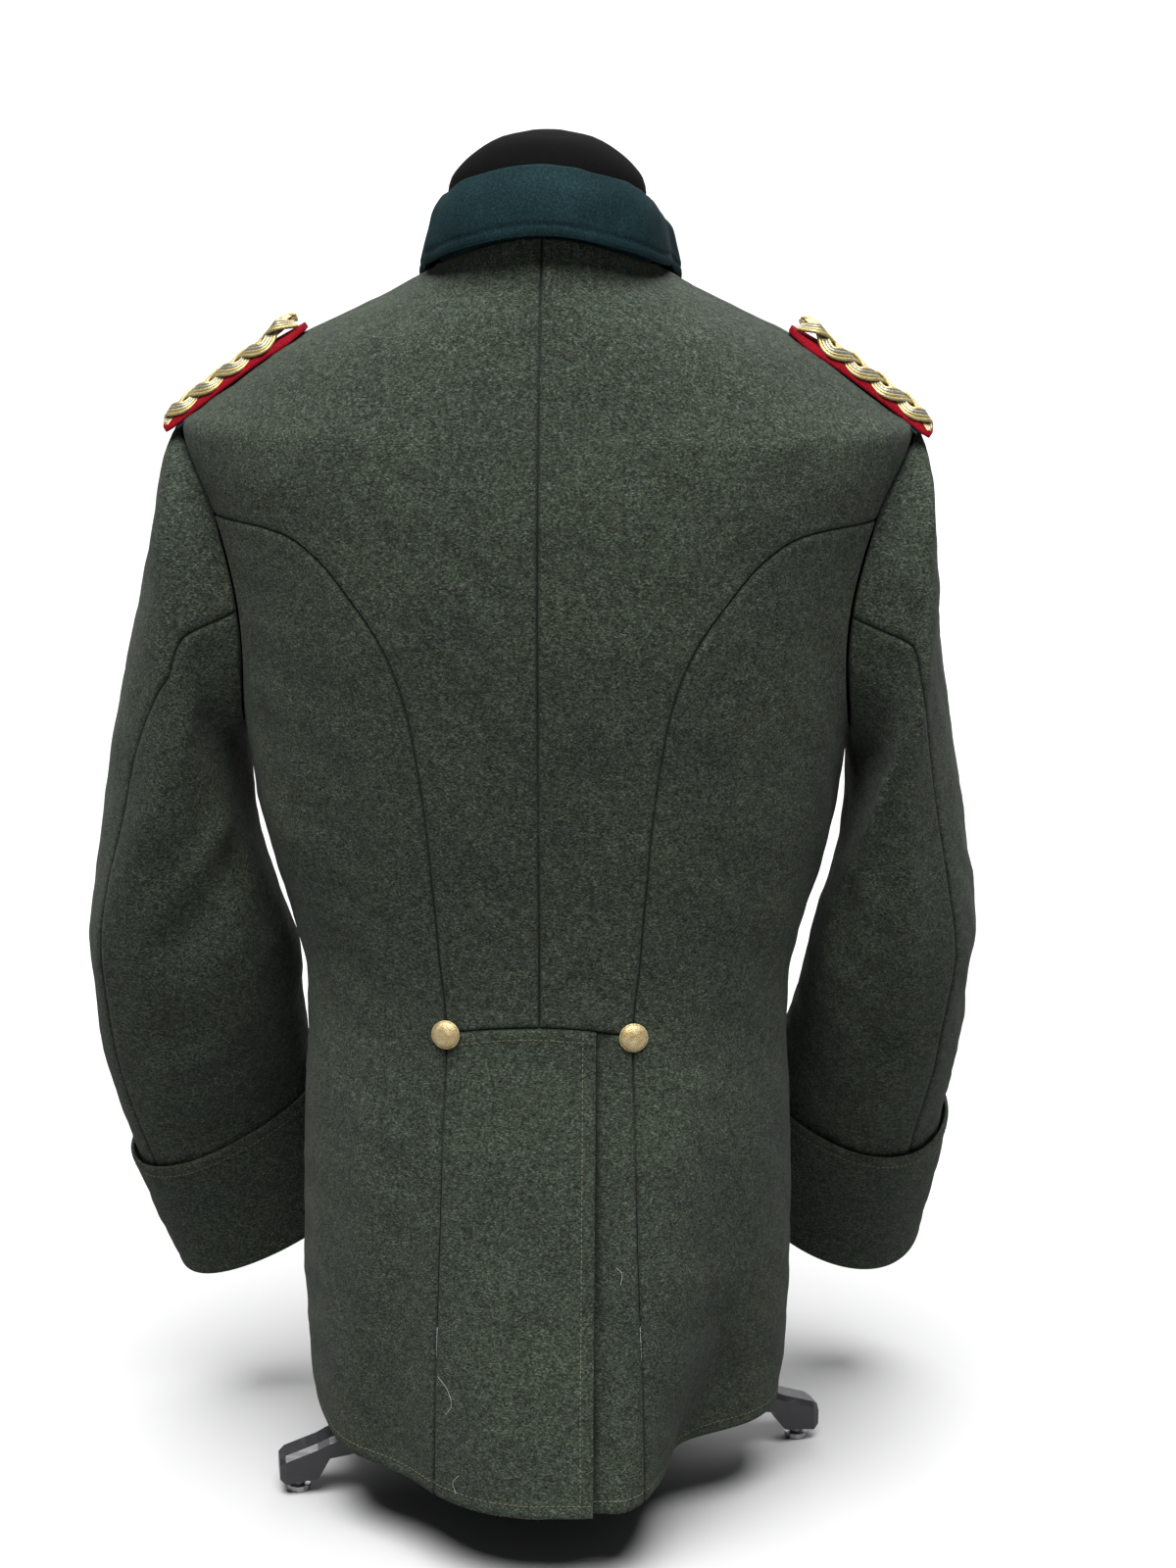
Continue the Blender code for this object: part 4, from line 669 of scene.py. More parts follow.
def sleeveSurface(side):
    rows = sleeveCut[side]
    centres = [np.array([(row[k] + row[k + 3]) / 2 for k in range(3)]) for row in rows]
    halves = [np.array([(row[k] - row[k + 3]) / 2 for k in range(3)]) for row in rows]
    rears = []
    for i, row in enumerate(rows):
        rear = np.cross(halves[i], centres[min(i + 1, len(rows) - 1)] - centres[max(i - 1, 0)])
        rear /= np.linalg.norm(rear)
        rears.append((-rear if rear[1] > 0 else rear) * row[6])

    def surface(alpha, ring):
        alpha, ring = np.broadcast_arrays(np.asarray(alpha, dtype=float), np.asarray(ring, dtype=float))
        shape = alpha.shape
        alpha, ring = alpha.ravel(), ring.ravel()
        last = len(rows)
        corner = sleeveCut["corner"]
        reach = (np.abs(np.cos(alpha)) ** corner + np.abs(np.sin(alpha)) ** corner) ** (-1.0 / corner)
        table = [armholeRing(alpha)]
        outward, backward = (reach * np.cos(alpha))[:, None], (reach * np.sin(alpha))[:, None]
        for centre, half, rear in zip(centres, halves, rears):
            table.append(centre + half * outward + rear * backward)
        table = np.array(table)
        low = np.clip(ring, 0, last - 1e-9).astype(int)
        t = (ring - low)[:, None]
        item = np.arange(len(alpha))
        p = [table[np.clip(low + k, 0, last), item] for k in (-1, 0, 1, 2)]
        ahead = (p[2] - p[0]) * np.where(low > 0, 0.5, 1.0)[:, None]
        beyond = (p[3] - p[1]) * np.where(low < last - 1, 0.5, 1.0)[:, None]
        place = (p[1] * ((1 + 2 * t) * (1 - t) ** 2) + ahead * (t * (1 - t) ** 2)
                 + p[2] * (t * t * (3 - 2 * t)) + beyond * (t * t * (t - 1)))
        core = np.array(centres)[np.maximum(low, 1) - 1] * (1 - t) + np.array(centres)[low] * t
        swell = np.zeros(len(alpha))
        for angle, spread, atRing, halfLength, lean, depth in sleeveCut[side + "Folds"]:
            away = turnBetween(np.degrees(alpha), angle + lean * (ring - atRing))
            swell += depth * bell(away, spread) * bell(ring - atRing, halfLength)
        outward = place - core
        outward /= np.linalg.norm(outward, axis=1)[:, None]
        return (place + outward * swell[:, None]).reshape(*shape, 3)
    return surface


# Cloth pieces: a dense sheet on the surface, with its seams drawn in and its edges rolled
clothMaking = {
    "spacing": 0.0042, "rim": (0.0, 0.0006, 0.0014, 0.0026, 0.0042, 0.0064),
    "seamDepth": 0.0019, "seamWidth": 0.0009, "ridge": 0.0004, "ridgeAt": 0.0050, "ridgeWidth": 0.0026,
    "edgeDepth": 0.0007, "edgeWidth": 0.0010, "edgeRoll": 0.0004, "rollAt": 0.006, "rollWidth": 0.004,
    "stitchLine": 0.0085, "stitchSink": 0.0005, "stitchWidth": 0.0022,
    "waves": 0.0006, "waveSize": 0.055, "rippleSize": 0.021, "rippleShare": 0.35, "calmReach": 0.03,
    "foldAtSeam": 0.35, "foldReach": 0.012, "seamShade": 0.95, "wallGap": 0.0002,
}
sewing = {
    "pitch": 0.0034, "stitch": 0.0024, "radius": 0.00032, "inset": 0.0085, "sides": 5,
    "rings": (  # share of the stitch, size, rise
        (0.0, 0.35, -0.35), (0.18, 1.0, 0.40), (0.82, 1.0, 0.40), (1.0, 0.35, -0.35)),
    "lines": {  # the borders of each piece that are stitched
        "skirtLeft": ("bottom", "right", "top"), "skirtRight": ("bottom",), "frontLeft": ("bottom", "right"),
        "frontRight": ("bottom",), "sideLeft": ("bottom",), "sideRight": ("bottom",),
        "cuffLeft": ("bottom",), "cuffRight": ("bottom",)},
}


def fineStations(length, tallies):
    rim = np.array(clothMaking["rim"])
    inside = length - 2 * rim[-1]
    count = max(int(round(inside / clothMaking["spacing"])), 2)
    between = np.linspace(rim[-1], length - rim[-1], count + 1)
    metres = np.concatenate([rim[:-1], between, (length - rim[:-1])[::-1]])
    return np.interp(metres, tallies, np.arange(len(tallies)))


def fineGrid(pointAt, coarse, breaks, closed):
    coarse = np.asarray(coarse, dtype=float)
    rough = pointAt(coarse[..., 0], coarse[..., 1])
    rowSteps = np.linalg.norm(np.diff(rough, axis=0), axis=2).mean(axis=1)
    rowTally = np.concatenate([[0.0], np.cumsum(rowSteps)])
    fine = smoothAlong(coarse, fineStations(rowTally[-1], rowTally), breaks)
    if closed:
        columns = coarse.shape[1] * 6
        wide = np.concatenate([fine, fine[:, :1] + np.array([2 * math.pi, 0.0])], axis=1)
        return np.swapaxes(smoothAlong(np.swapaxes(wide, 0, 1), np.arange(columns) / 6.0), 0, 1)
    columnSteps = np.linalg.norm(np.diff(rough, axis=1), axis=2).mean(axis=0)
    columnTally = np.concatenate([[0.0], np.cumsum(columnSteps)])
    return np.swapaxes(smoothAlong(np.swapaxes(fine, 0, 1), fineStations(columnTally[-1], columnTally)), 0, 1)


def borderDistance(points, lines):
    if not lines:
        return np.full(points.shape[:2], 1.0)
    spots = [smoothAlong(line, np.linspace(0, len(line) - 1, len(line) * 3)) for line in lines]
    spots = np.concatenate(spots)
    tree = kdtree.KDTree(len(spots))
    for i, spot in enumerate(spots):
        tree.insert(spot, i)
    tree.balance()
    return np.array([tree.find(point)[2] for point in points.reshape(-1, 3)]).reshape(points.shape[:2])


def softWaves(points, seed, size, amount):  # slow uneven waves in the cloth, the same on every run
    waves = np.zeros(points.shape[:-1])
    for k in range(7):
        direction = [math.sin(seed * 1.7 + k * 2.3), math.cos(seed * 0.9 + k * 1.1), math.sin(seed + k * 3.7)]
        length = size * (1 + 0.35 * math.sin(k * 5.1 + seed))
        waves += np.sin(points @ np.array(direction) * (6.283 / length) + seed * k)
    return amount * waves / 2.6


handFolds = {  # polyline of x, z as seen square on, half width, height of the ridge (troughs are negative)
    "rear": [
        ([(-0.196, 0.489), (-0.222, 0.452), (-0.247, 0.411)], 0.0085, 0.0044),
        ([(-0.186, 0.468), (-0.236, 0.389)], 0.0125, -0.0062),
        ([(-0.219, 0.554), (-0.213, 0.527)], 0.0090, -0.0034),
        ([(-0.226, 0.560), (-0.224, 0.530)], 0.0070, 0.0018),
        ([(-0.193, 0.575), (-0.181, 0.488)], 0.0080, 0.0026),
        ([(-0.178, 0.574), (-0.164, 0.491)], 0.0100, -0.0026),
        ([(0.222, 0.568), (0.211, 0.480), (0.209, 0.408), (0.203, 0.367)], 0.0095, 0.0044),
        ([(0.196, 0.520), (0.192, 0.440), (0.192, 0.389)], 0.0140, -0.0070),
        ([(0.241, 0.520), (0.238, 0.410)], 0.0150, -0.0020),
        ([(-0.014, 0.840), (-0.040, 0.829), (-0.066, 0.815)], 0.0090, -0.0020),
        ([(-0.026, 0.846), (-0.074, 0.823)], 0.0070, 0.0014),
        ([(0.020, 0.826), (0.060, 0.815)], 0.0100, -0.0010),
        ([(-0.131, 0.747), (-0.180, 0.693)], 0.0200, 0.0014),
        ([(0.131, 0.745), (0.182, 0.690)], 0.0200, 0.0012),
        ([(0.093, 0.308), (0.088, 0.180), (0.090, 0.068)], 0.0150, 0.0026),
        ([(0.116, 0.290), (0.121, 0.070)], 0.0160, -0.0022),
        ([(-0.104, 0.296), (-0.118, 0.170), (-0.124, 0.063)], 0.0150, 0.0026),
        ([(-0.084, 0.270), (-0.090, 0.070)], 0.0130, -0.0018),
        ([(-0.022, 0.230), (-0.030, 0.050)], 0.0160, 0.0020),
        ([(0.008, 0.200), (0.012, 0.050)], 0.0130, -0.0016),
        ([(0.178, 0.480), (0.165, 0.380)], 0.0120, -0.0022),
        ([(-0.172, 0.430), (-0.158, 0.350)], 0.0120, -0.0022),
        ([(-0.150, 0.355), (-0.050, 0.340)], 0.0100, -0.0008),
        ([(-0.225, 0.330), (-0.262, 0.312)], 0.0110, -0.0030),
        ([(-0.215, 0.300), (-0.268, 0.286)], 0.0100, 0.0022),
        ([(0.205, 0.330), (0.262, 0.322)], 0.0120, -0.0026),
        ([(0.215, 0.285), (0.262, 0.292)], 0.0100, 0.0020)],
    "front": [
        ([(-0.180, 0.560), (-0.120, 0.600)], 0.0110, -0.0020),
        ([(0.182, 0.552), (0.118, 0.596)], 0.0110, -0.0022),
        ([(-0.150, 0.380), (-0.060, 0.372)], 0.0110, -0.0018),
        ([(0.148, 0.374), (0.066, 0.380)], 0.0110, -0.0016),
        ([(-0.205, 0.470), (-0.262, 0.430)], 0.0100, -0.0034),
        ([(0.200, 0.455), (0.255, 0.425)], 0.0100, -0.0032),
        ([(-0.100, 0.280), (-0.116, 0.070)], 0.0150, 0.0022),
        ([(0.104, 0.290), (0.112, 0.072)], 0.0150, 0.0020)],
}


def foldLift(points, normals):
    lift = np.zeros(points.shape[:-1])
    for side, facing in (("rear", -1.0), ("front", 1.0)):
        turned = ease(normals[..., 1] * facing, 0.15, 0.65)
        for line, spread, height in handFolds[side]:
            stops = np.linspace(line[0], line[1], 24)
            if len(line) > 2:
                stops = smoothAlong(line, np.linspace(0, len(line) - 1, 24))
            sideways, upward = points[..., 0, None] - stops[:, 0], points[..., 2, None] - stops[:, 1]
            gaps = np.sqrt(sideways ** 2 + upward ** 2)
            nearest = gaps.argmin(axis=-1) / 23.0
            fade = ease(nearest, -0.25, 0.30) * (1.0 - ease(nearest, 0.70, 1.25))
            lift = lift + height * bell(gaps.min(axis=-1), spread) * fade * turned
    return lift


def clothPiece(name, node, pointAt, coarse, sewn, breaks=(), mirrored=False, tuck=None, closed=False,
               seed=1.0, shade=None):
    uv = fineGrid(pointAt, coarse, breaks, closed)
    points = pointAt(uv[..., 0], uv[..., 1])
    normals = gridNormals(points, closed)
    normals = normals * clothOutward(points, uv, pointAt, closed)
    borders = {"bottom": points[0], "top": points[-1], "left": points[:, 0], "right": points[:, -1]}
    seams = borderDistance(points, [borders[side] for side in borders if sewn.get(side) == "seam"])
    edges = borderDistance(points, [borders[side] for side in borders if sewn.get(side) == "edge"])
    making = clothMaking
    lift = -making["seamDepth"] * bell(seams, making["seamWidth"])
    lift = lift + making["ridge"] * bell(seams - making["ridgeAt"], making["ridgeWidth"])
    lift = lift - making["edgeDepth"] * bell(edges, making["edgeWidth"])
    lift = lift + making["edgeRoll"] * bell(edges - making["rollAt"], making["rollWidth"])
    lift = lift - making["stitchSink"] * bell(edges - making["stitchLine"], making["stitchWidth"])
    calm = ease(np.minimum(seams, edges + 0.004), 0.0, making["calmReach"])
    ripples = making["waves"] * making["rippleShare"]
    lift = lift + softWaves(points, seed, making["waveSize"], making["waves"]) * calm
    lift = lift + softWaves(points, seed + 4.0, making["rippleSize"], ripples) * calm
    across = mirror if mirrored else 1.0
    atSeam = making["foldAtSeam"] + (1.0 - making["foldAtSeam"]) * ease(seams, 0.0, making["foldReach"])
    lift = lift + foldLift(points * across, normals * across) * atSeam
    if tuck is not None:
        lift = lift - tuck(points)
    points = (points + normals * lift[..., None]) * across + middle
    outward = normals * across
    for border in sewing["lines"].get(name, ()):
        sewAlong(*insetLine(points, outward, border, sewing["inset"]))
    made = meshFromGrid(name, points, closed, wool)
    # painted shade: seam grooves are darkened in the wool's colour, and lapped pieces get a painted shadow
    # beside the lapping edge
    sunk = made.data.attributes.new("sunk", "FLOAT", "POINT")
    depth = making["seamShade"] * bell(seams, making["seamWidth"])
    if shade is not None:
        depth = np.maximum(depth, shade(points - middle))
    sunk.data.foreach_set("value", depth.ravel())
    addWall(made, bodyCut["wall"] - making["wallGap"], faceSide(made, points, outward, closed))
    finishPiece(made, 70.0, node)
    declareCloth(points, closed)


threads = []  # every stitch of the tunic: start, end, outward


def insetLine(points, normals, border, distance):  # a line along one border, a little way in
    if border in ("left", "right"):
        points, normals = np.swapaxes(points, 0, 1), np.swapaxes(normals, 0, 1)
    if border in ("top", "right"):
        points, normals = points[::-1], normals[::-1]
    steps = tallyAlong(points)
    columns = range(points.shape[1])
    line = [placeAt(distance, steps[:, column], points[:, column]) for column in columns]
    out = [placeAt(distance, steps[:, column], normals[:, column]) for column in columns]
    return np.array(line), np.array(out)


def placeAt(distance, tally, values):
    return np.array([np.interp(distance, tally, values[:, k]) for k in range(3)])


def sewAlong(line, out):
    tally = tallyAlong(line)
    for begin in np.arange(0.0, tally[-1] - sewing["pitch"], sewing["pitch"]):
        outward = placeAt(begin, tally, out)
        ends = [placeAt(at, tally, line) for at in (begin, begin + sewing["stitch"])]
        threads.append((*ends, outward / np.linalg.norm(outward)))


def makeSewing():
    vertices, faces = [], []
    radius, sides = sewing["radius"], sewing["sides"]
    last = (len(sewing["rings"]) - 1) * sides
    for start, end, outward in threads:
        along = (end - start) / np.linalg.norm(end - start)
        side = np.cross(along, outward)
        first = len(vertices)
        for share, size, rise in sewing["rings"]:
            centre = start + (end - start) * share + outward * radius * rise
            for k in range(sides):
                turnBy = 2 * math.pi * k / sides
                spoke = side * math.cos(turnBy) + outward * math.sin(turnBy)
                vertices.append(centre + radius * size * spoke)
        for ring in range(first, first + last, sides):
            for k in range(sides):
                a, b = ring + k, ring + (k + 1) % sides
                faces.append((a, b, b + sides, a + sides))
        faces.append(tuple(range(first + sides - 1, first - 1, -1)))
        faces.append(tuple(range(first + last, first + last + sides)))
    data = bpy.data.meshes.new("sewing")
    data.from_pydata([tuple(v) for v in vertices], [], faces)
    made = bpy.data.objects.new("sewing", data)
    bpy.context.scene.collection.objects.link(made)
    data.materials.append(stitchThread)
    closeMesh(data, fillEnds=False)
    finishPiece(made, 60.0)
    print("stitches", len(threads))


def declareCloth(points, closed=False):
    wide = np.linalg.norm(np.diff(points, axis=1), axis=2).sum(axis=1)
    if closed:
        wide = wide + np.linalg.norm(points[:, 0] - points[:, -1], axis=1)


def clothOutward(points, uv, pointAt, closed):
    row, column = points.shape[0] // 2, points.shape[1] // 2
    normal = gridNormals(points, closed)[row, column]
    u, v = uv[row, column]
    opposite = pointAt(np.array([u + math.pi]), np.array([v]))[0]
    return 1.0 if normal.dot(points[row, column] - opposite) > 0 else -1.0


def faceSide(made, points, normals, closed):
    columns = points.shape[1]
    row, column = points.shape[0] // 2, columns // 2
    face = made.data.polygons[row * (columns if closed else columns - 1) + column]
    return 1.0 if np.dot(np.array(face.normal), normals[row, column]) > 0 else -1.0


def mirroredBody(phi, z):
    return bodyPoint(math.pi - np.asarray(phi), z) * mirror


lapping = {  # how far the lapped edges sink and the lapping ones stand off, and the painted shadow beside them
    "sinkMore": 0.0032, "sinkFrom": 0.16, "ventReach": (0.004, 0.021), "frontReach": (0.003, 0.017),
    "frontRise": 0.0012, "frontRiseReach": 0.020, "ventRise": 0.0006, "ventFlare": 0.0030, "flareFrom": 0.20,
    "flareReach": 0.030, "shade": 0.85, "shadeAt": 0.0003, "shadeWidth": 0.0024,
}


def underVent(points):
    below = 1.0 - ease(points[..., 2], lapping["sinkFrom"], bodyCut["waist"])
    near, far = (bodyCut["ventEdge"] + reach for reach in lapping["ventReach"])
    return (bodyCut["lap"] + lapping["sinkMore"] * below) * (1.0 - ease(points[..., 0], near, far))


def underFront(points):
    near, far = (bodyCut["frontLap"] + reach for reach in lapping["frontReach"])
    return bodyCut["lap"] * (1.0 - ease(points[..., 0], near, far))


def overFront(points):  # here the edge is seen in its mirrored place
    edge = -bodyCut["frontLap"]
    return -lapping["frontRise"] * (1.0 - ease(points[..., 0], edge, edge + lapping["frontRiseReach"]))


def overVent(points):  # the lapping edge stands off a little, more towards the hem
    below = 1.0 - ease(points[..., 2], lapping["flareFrom"], bodyCut["waist"])
    edge = bodyCut["ventEdge"]
    nearEdge = ease(points[..., 0], edge - lapping["flareReach"], edge)
    return -(lapping["ventRise"] + lapping["ventFlare"] * below) * nearEdge


def lapShade(edge):  # painted shadow: a dark line on the lapped piece, just past the lapping edge
    width = lapping["shadeWidth"]
    return lambda points: lapping["shade"] * bell(points[..., 0] - edge - lapping["shadeAt"], width)


backRows = len(princessSeam()) - 1
frontRows = len(frontSeam()) - 1
sewnBack = {"left": "seam", "right": "seam", "bottom": "seam", "top": "seam"}
sewnSide = {"left": "seam", "right": "seam", "bottom": "edge", "top": "seam"}
sewnFront = {"left": "seam", "right": "edge", "bottom": "edge", "top": "seam"}
for side, pointAt, mirrored in (("Right", bodyPoint, False), ("Left", mirroredBody, True)):
    low = side.lower()
    clothPiece("back" + side, "back_" + low, pointAt, backGrid(), sewnBack, (backRows, backRows + 4),
               mirrored, seed=2.0 + mirrored)
    clothPiece("side" + side, "side_" + low, pointAt, sideGrid(), sewnSide, (6,),
               mirrored, seed=4.0 + mirrored)
    clothPiece("front" + side, "front_" + low, pointAt, frontGrid(), sewnFront, (frontRows, frontRows + 7),
               mirrored, tuck=overFront if mirrored else underFront, seed=6.0 + mirrored,
               shade=None if mirrored else lapShade(bodyCut["frontLap"]))
clothPiece("skirtLeft", "skirt_left", bodyPoint, skirtGrid(-1.0, bodyCut["ventEdge"], 9), sewnFront,
           tuck=overVent, seed=8.0)
clothPiece("skirtRight", "skirt_right", bodyPoint, skirtGrid(1.0, bodyCut["ventUnder"], 8), sewnFront,
           tuck=underVent, seed=9.0, shade=lapShade(bodyCut["ventEdge"]))
print("body sewn")

sewnSleeve = {"left": "seam", "right": "seam", "bottom": "seam", "top": "edge"}
for side in ("left", "right"):
    surface = sleeveSurface(side)
    numbers = [0.0, 0.5] + [float(n) for n in range(1, len(sleeveCut[side]) + 1)]
    fore = math.radians(sleeveCut["foreSeam"])
    top, under = [], []
    for number in numbers:
        hind = math.radians(float(readRows(sleeveCut["hindSeam"], number)[0]))
        top.append([(alpha, number) for alpha in stepsBetween(hind, fore, 11)])
        under.append([(alpha, number) for alpha in stepsBetween(fore + 2 * math.pi, hind, 8)])
    isLeft = side == "left"
    clothPiece("sleeveTop" + side.title(), "sleeve_top_" + side, surface, top, sewnSleeve,
               mirrored=isLeft, seed=11.0 + isLeft)
    clothPiece("sleeveUnder" + side.title(), "sleeve_under_" + side, surface, under, sewnSleeve,
               mirrored=isLeft, seed=13.0 + isLeft)

    def cuffSurface(alpha, ring, surface=surface, last=len(sleeveCut[side])):
        alpha, ring = np.asarray(alpha, dtype=float), np.asarray(ring, dtype=float)
        point = surface(alpha, ring)
        normal = crossSlopes(surface, alpha, ring)
        normal /= np.linalg.norm(normal, axis=-1, keepdims=True)
        core = sum(surface(np.full(ring.shape, k * math.pi / 2), ring) for k in range(4)) / 4
        inward = (normal * (point - core)).sum(axis=-1) < 0
        normal = np.where(inward[..., None], -normal, normal)
        opening = sleeveCut["cuffFlare"] * (1.0 - ease(ring, sleeveCut["cuffRing"], last))
        return point + normal * (bodyCut["lap"] + 0.0003 + opening)[..., None]

    cuffRings = stepsBetween(sleeveCut["cuffRing"], len(sleeveCut[side]), 4)
    cuff = [[(2 * math.pi * k / 22, number) for k in range(22)] for number in cuffRings]
    clothPiece("cuff" + side.title(), "cuff_" + side, cuffSurface, cuff, {"bottom": "edge", "top": "edge"},
               mirrored=isLeft, closed=True, seed=15.0 + isLeft)
print("sleeves and cuffs sewn")


# Collar: fall, fold and stand in one sheet of felt
collarCut = {
    "rows": [  # degrees, rise, fold out, drop, fall out
        (-135.0, 0.0482, -0.001, -0.0048, 0.0150), (-90.0, 0.0490, 0.000, -0.0086, 0.0185),
        (-45.0, 0.0482, -0.001, -0.0048, 0.0150), (-18.0, 0.0428, -0.0030, 0.0000, 0.0112),
        (0.0, 0.0390, -0.0034, 0.0012, 0.0105), (40.0, 0.0375, -0.006, 0.0022, 0.0110),
        (70.0, 0.0380, -0.006, 0.0160, 0.0190), (87.0, 0.0360, -0.004, 0.0300, 0.0265)],
    "end": 87.0, "clear": 0.0008, "lineAt": 0.0067, "lineDepth": 0.0008, "backFoot": 0.850, "standIn": 0.0045,
    "wall": 0.0024, "lineWidth": 0.0011, "edgeDepth": 0.0006, "edgeWidth": 0.0012,
}


def collarSection(degrees):
    rise, foldOut, drop, fallOut = readRows(collarCut["rows"], degrees)
    phi, step = math.radians(degrees), 0.0005
    back = collarCut["backFoot"]
    foot = bodyPoint(phi, neckHeight(phi, back))
    standIn = collarCut["standIn"] * max(-math.sin(phi), 0.0)
    ahead, behind = (bodyPoint(phi + s, neckHeight(phi + s, back)) for s in (step, -step))
    along = ahead - behind
    out = np.array([along[1], -along[0], 0.0])
    out /= np.linalg.norm(out)
    if out @ foot < 0:
        out = -out
    section = [  # out and up from the neckline: edge of the fall, over the fold, down the stand
        (fallOut, -drop), (fallOut * 0.92 + foldOut * 0.08, rise * 0.30 - drop * 0.6),
        (fallOut * 0.62 + foldOut * 0.38, rise * 0.72), (foldOut + 0.0030, rise * 0.955), (foldOut, rise),
        (foldOut - 0.0032, rise * 0.95), (foldOut * 0.6 - 0.0030 - standIn * 0.8, rise * 0.55),
        (-0.0030 - standIn, collarCut["clear"])]
    return np.array([foot + out * r + np.array([0, 0, h]) for r, h in section])


def collarPoint(degrees, height):
    degrees, height = np.asarray(degrees, dtype=float), np.asarray(height, dtype=float)
    points = np.zeros(degrees.shape + (3,))
    for column in range(degrees.shape[1]):
        value = float(degrees[0, column])
        section = collarSection(-180.0 - value if value < -90.0 else value)
        if value < -90.0:
            section = section * mirror
        points[:, column] = smoothAlong(section, height[:, column])
    return points


def makeCollar():
    degrees = np.linspace(-180.0 - collarCut["end"], collarCut["end"], 150)
    fall, fold, stand = np.linspace(0.22, 3.0, 26), np.linspace(3.1, 5.0, 16), np.linspace(5.15, 7.0, 12)
    heights = np.concatenate([[0, 0.03, 0.08, 0.15], fall, fold, stand])
    grid = collarPoint(*np.meshgrid(degrees, heights))
    normals = gridNormals(grid)
    if normals[2, 75] @ np.array([0.0, -1.0, 0.0]) < 0:
        normals = -normals
    fromEdge = tallyAlong(grid)
    ends = np.minimum(degrees - degrees[0], degrees[-1] - degrees)[None, :] * 0.0012
    lift = -collarCut["lineDepth"] * bell(fromEdge - collarCut["lineAt"], collarCut["lineWidth"])
    lift = lift - collarCut["edgeDepth"] * bell(fromEdge, collarCut["edgeWidth"])
    lift = lift + softWaves(grid, 21.0, 0.04, 0.0005) * ease(np.minimum(fromEdge, ends), 0.0, 0.012)
    points = grid + normals * lift[..., None] + middle
    made = meshFromGrid("collarFall", points, False, collarFelt)
    addWall(made, collarCut["wall"], faceSide(made, points, normals, False))
    finishPiece(made, 70.0, "collar")
    declareCloth(points)


makeCollar()
print("collar folded")
makeSewing()


hairs = {
    "radius": 0.00011,
    "lines": [  # x and z of pale hairs caught in the nap of the skirts
        [(-0.064, 0.135), (-0.058, 0.128), (-0.055, 0.118), (-0.059, 0.110)],
        [(-0.050, 0.072), (-0.054, 0.066), (-0.052, 0.059)],
        [(0.050, 0.210), (0.054, 0.206), (0.053, 0.199)]],
}


def layHairs():
    strands = []
    for line in hairs["lines"]:
        spots = smoothAlong(line, np.linspace(0, len(line) - 1, 22))
        path = []
        for x, z in spots:
            start = Vector((x, -0.40, z)) + Vector(middle)
            nearest = None
            for piece in ("skirtLeft", "skirtRight", "sideLeft", "sideRight"):
                hit, place = bpy.data.objects[piece].ray_cast(start, Vector((0, 1, 0)))[:2]
                if hit and (nearest is None or place.y < nearest.y):
                    nearest = place
            path.append(np.array(nearest) - np.array([0, hairs["radius"] * 1.5, 0]))
        strands.append(tubeAlong("hair", path, hairs["radius"], paleHair, lobes=2, depth=0.0, sides=5))
    finishPiece(joinPieces("looseHairs", strands), 70.0)


# Dress form: a padded torso with its neck, smooth and covered in velvet
formCut = {
    "bottom": 0.170, "frontEase": 0.0030, "coverGap": 0.0006, "shoulderInset": 0.0020,
    "inset": [
        (0.17, 0.020), (0.30, 0.012), (0.45, 0.010), (0.60, 0.012), (0.68, 0.0115), (0.72, 0.0070),
        (0.74, 0.0052), (0.81, 0.0046)],
    "neck": [
        (0.826, 0.0630, 0.0660, 0.0600), (0.840, 0.0595, 0.0572, 0.0555), (0.862, 0.0600, 0.0552, 0.0540),
        (0.876, 0.0618, 0.0550, 0.0535), (0.884, 0.0600, 0.0530, 0.0520), (0.893, 0.0535, 0.0490, 0.0480),
        (0.902, 0.0430, 0.0400, 0.0395), (0.910, 0.0285, 0.0270, 0.0265), (0.9141, 0.0100, 0.0098, 0.0098)],
}


def makeForm():
    phi = np.linspace(0, 2 * math.pi, 97)[:-1]
    rings = []
    heights, insets = zip(*formCut["inset"])
    for z in [*np.linspace(formCut["bottom"], 0.70, 40), *np.linspace(0.712, 0.812, 14)]:
        inset = float(np.interp(z, heights, insets)) + formCut["frontEase"] * np.maximum(np.sin(phi), 0.0)
        inset = inset + formCut["coverGap"] + formCut["shoulderInset"] * ease(z, 0.70, 0.76)
        ring = bodyPoint(phi, np.full(phi.shape, z))
        away = ring * np.array([1, 1, 0])
        rings.append(ring - away / np.linalg.norm(away, axis=1)[:, None] * inset[:, None])
    for z in [*np.linspace(0.826, 0.876, 9), *np.linspace(0.880, 0.9100, 12), 0.9115, 0.9128, 0.9141]:
        half, behind, before = readRows(formCut["neck"], z)
        depth = np.where(np.sin(phi) < 0, behind, before)
        rings.append(np.stack([half * np.cos(phi), depth * np.sin(phi), np.full(phi.shape, z)], -1))
    made = meshFromGrid("formCover", np.array(rings) + middle, True, blackVelvet)
    closeMesh(made.data)
    finishPiece(made, 60.0, "form_torso")


makeForm()
print("form covered")


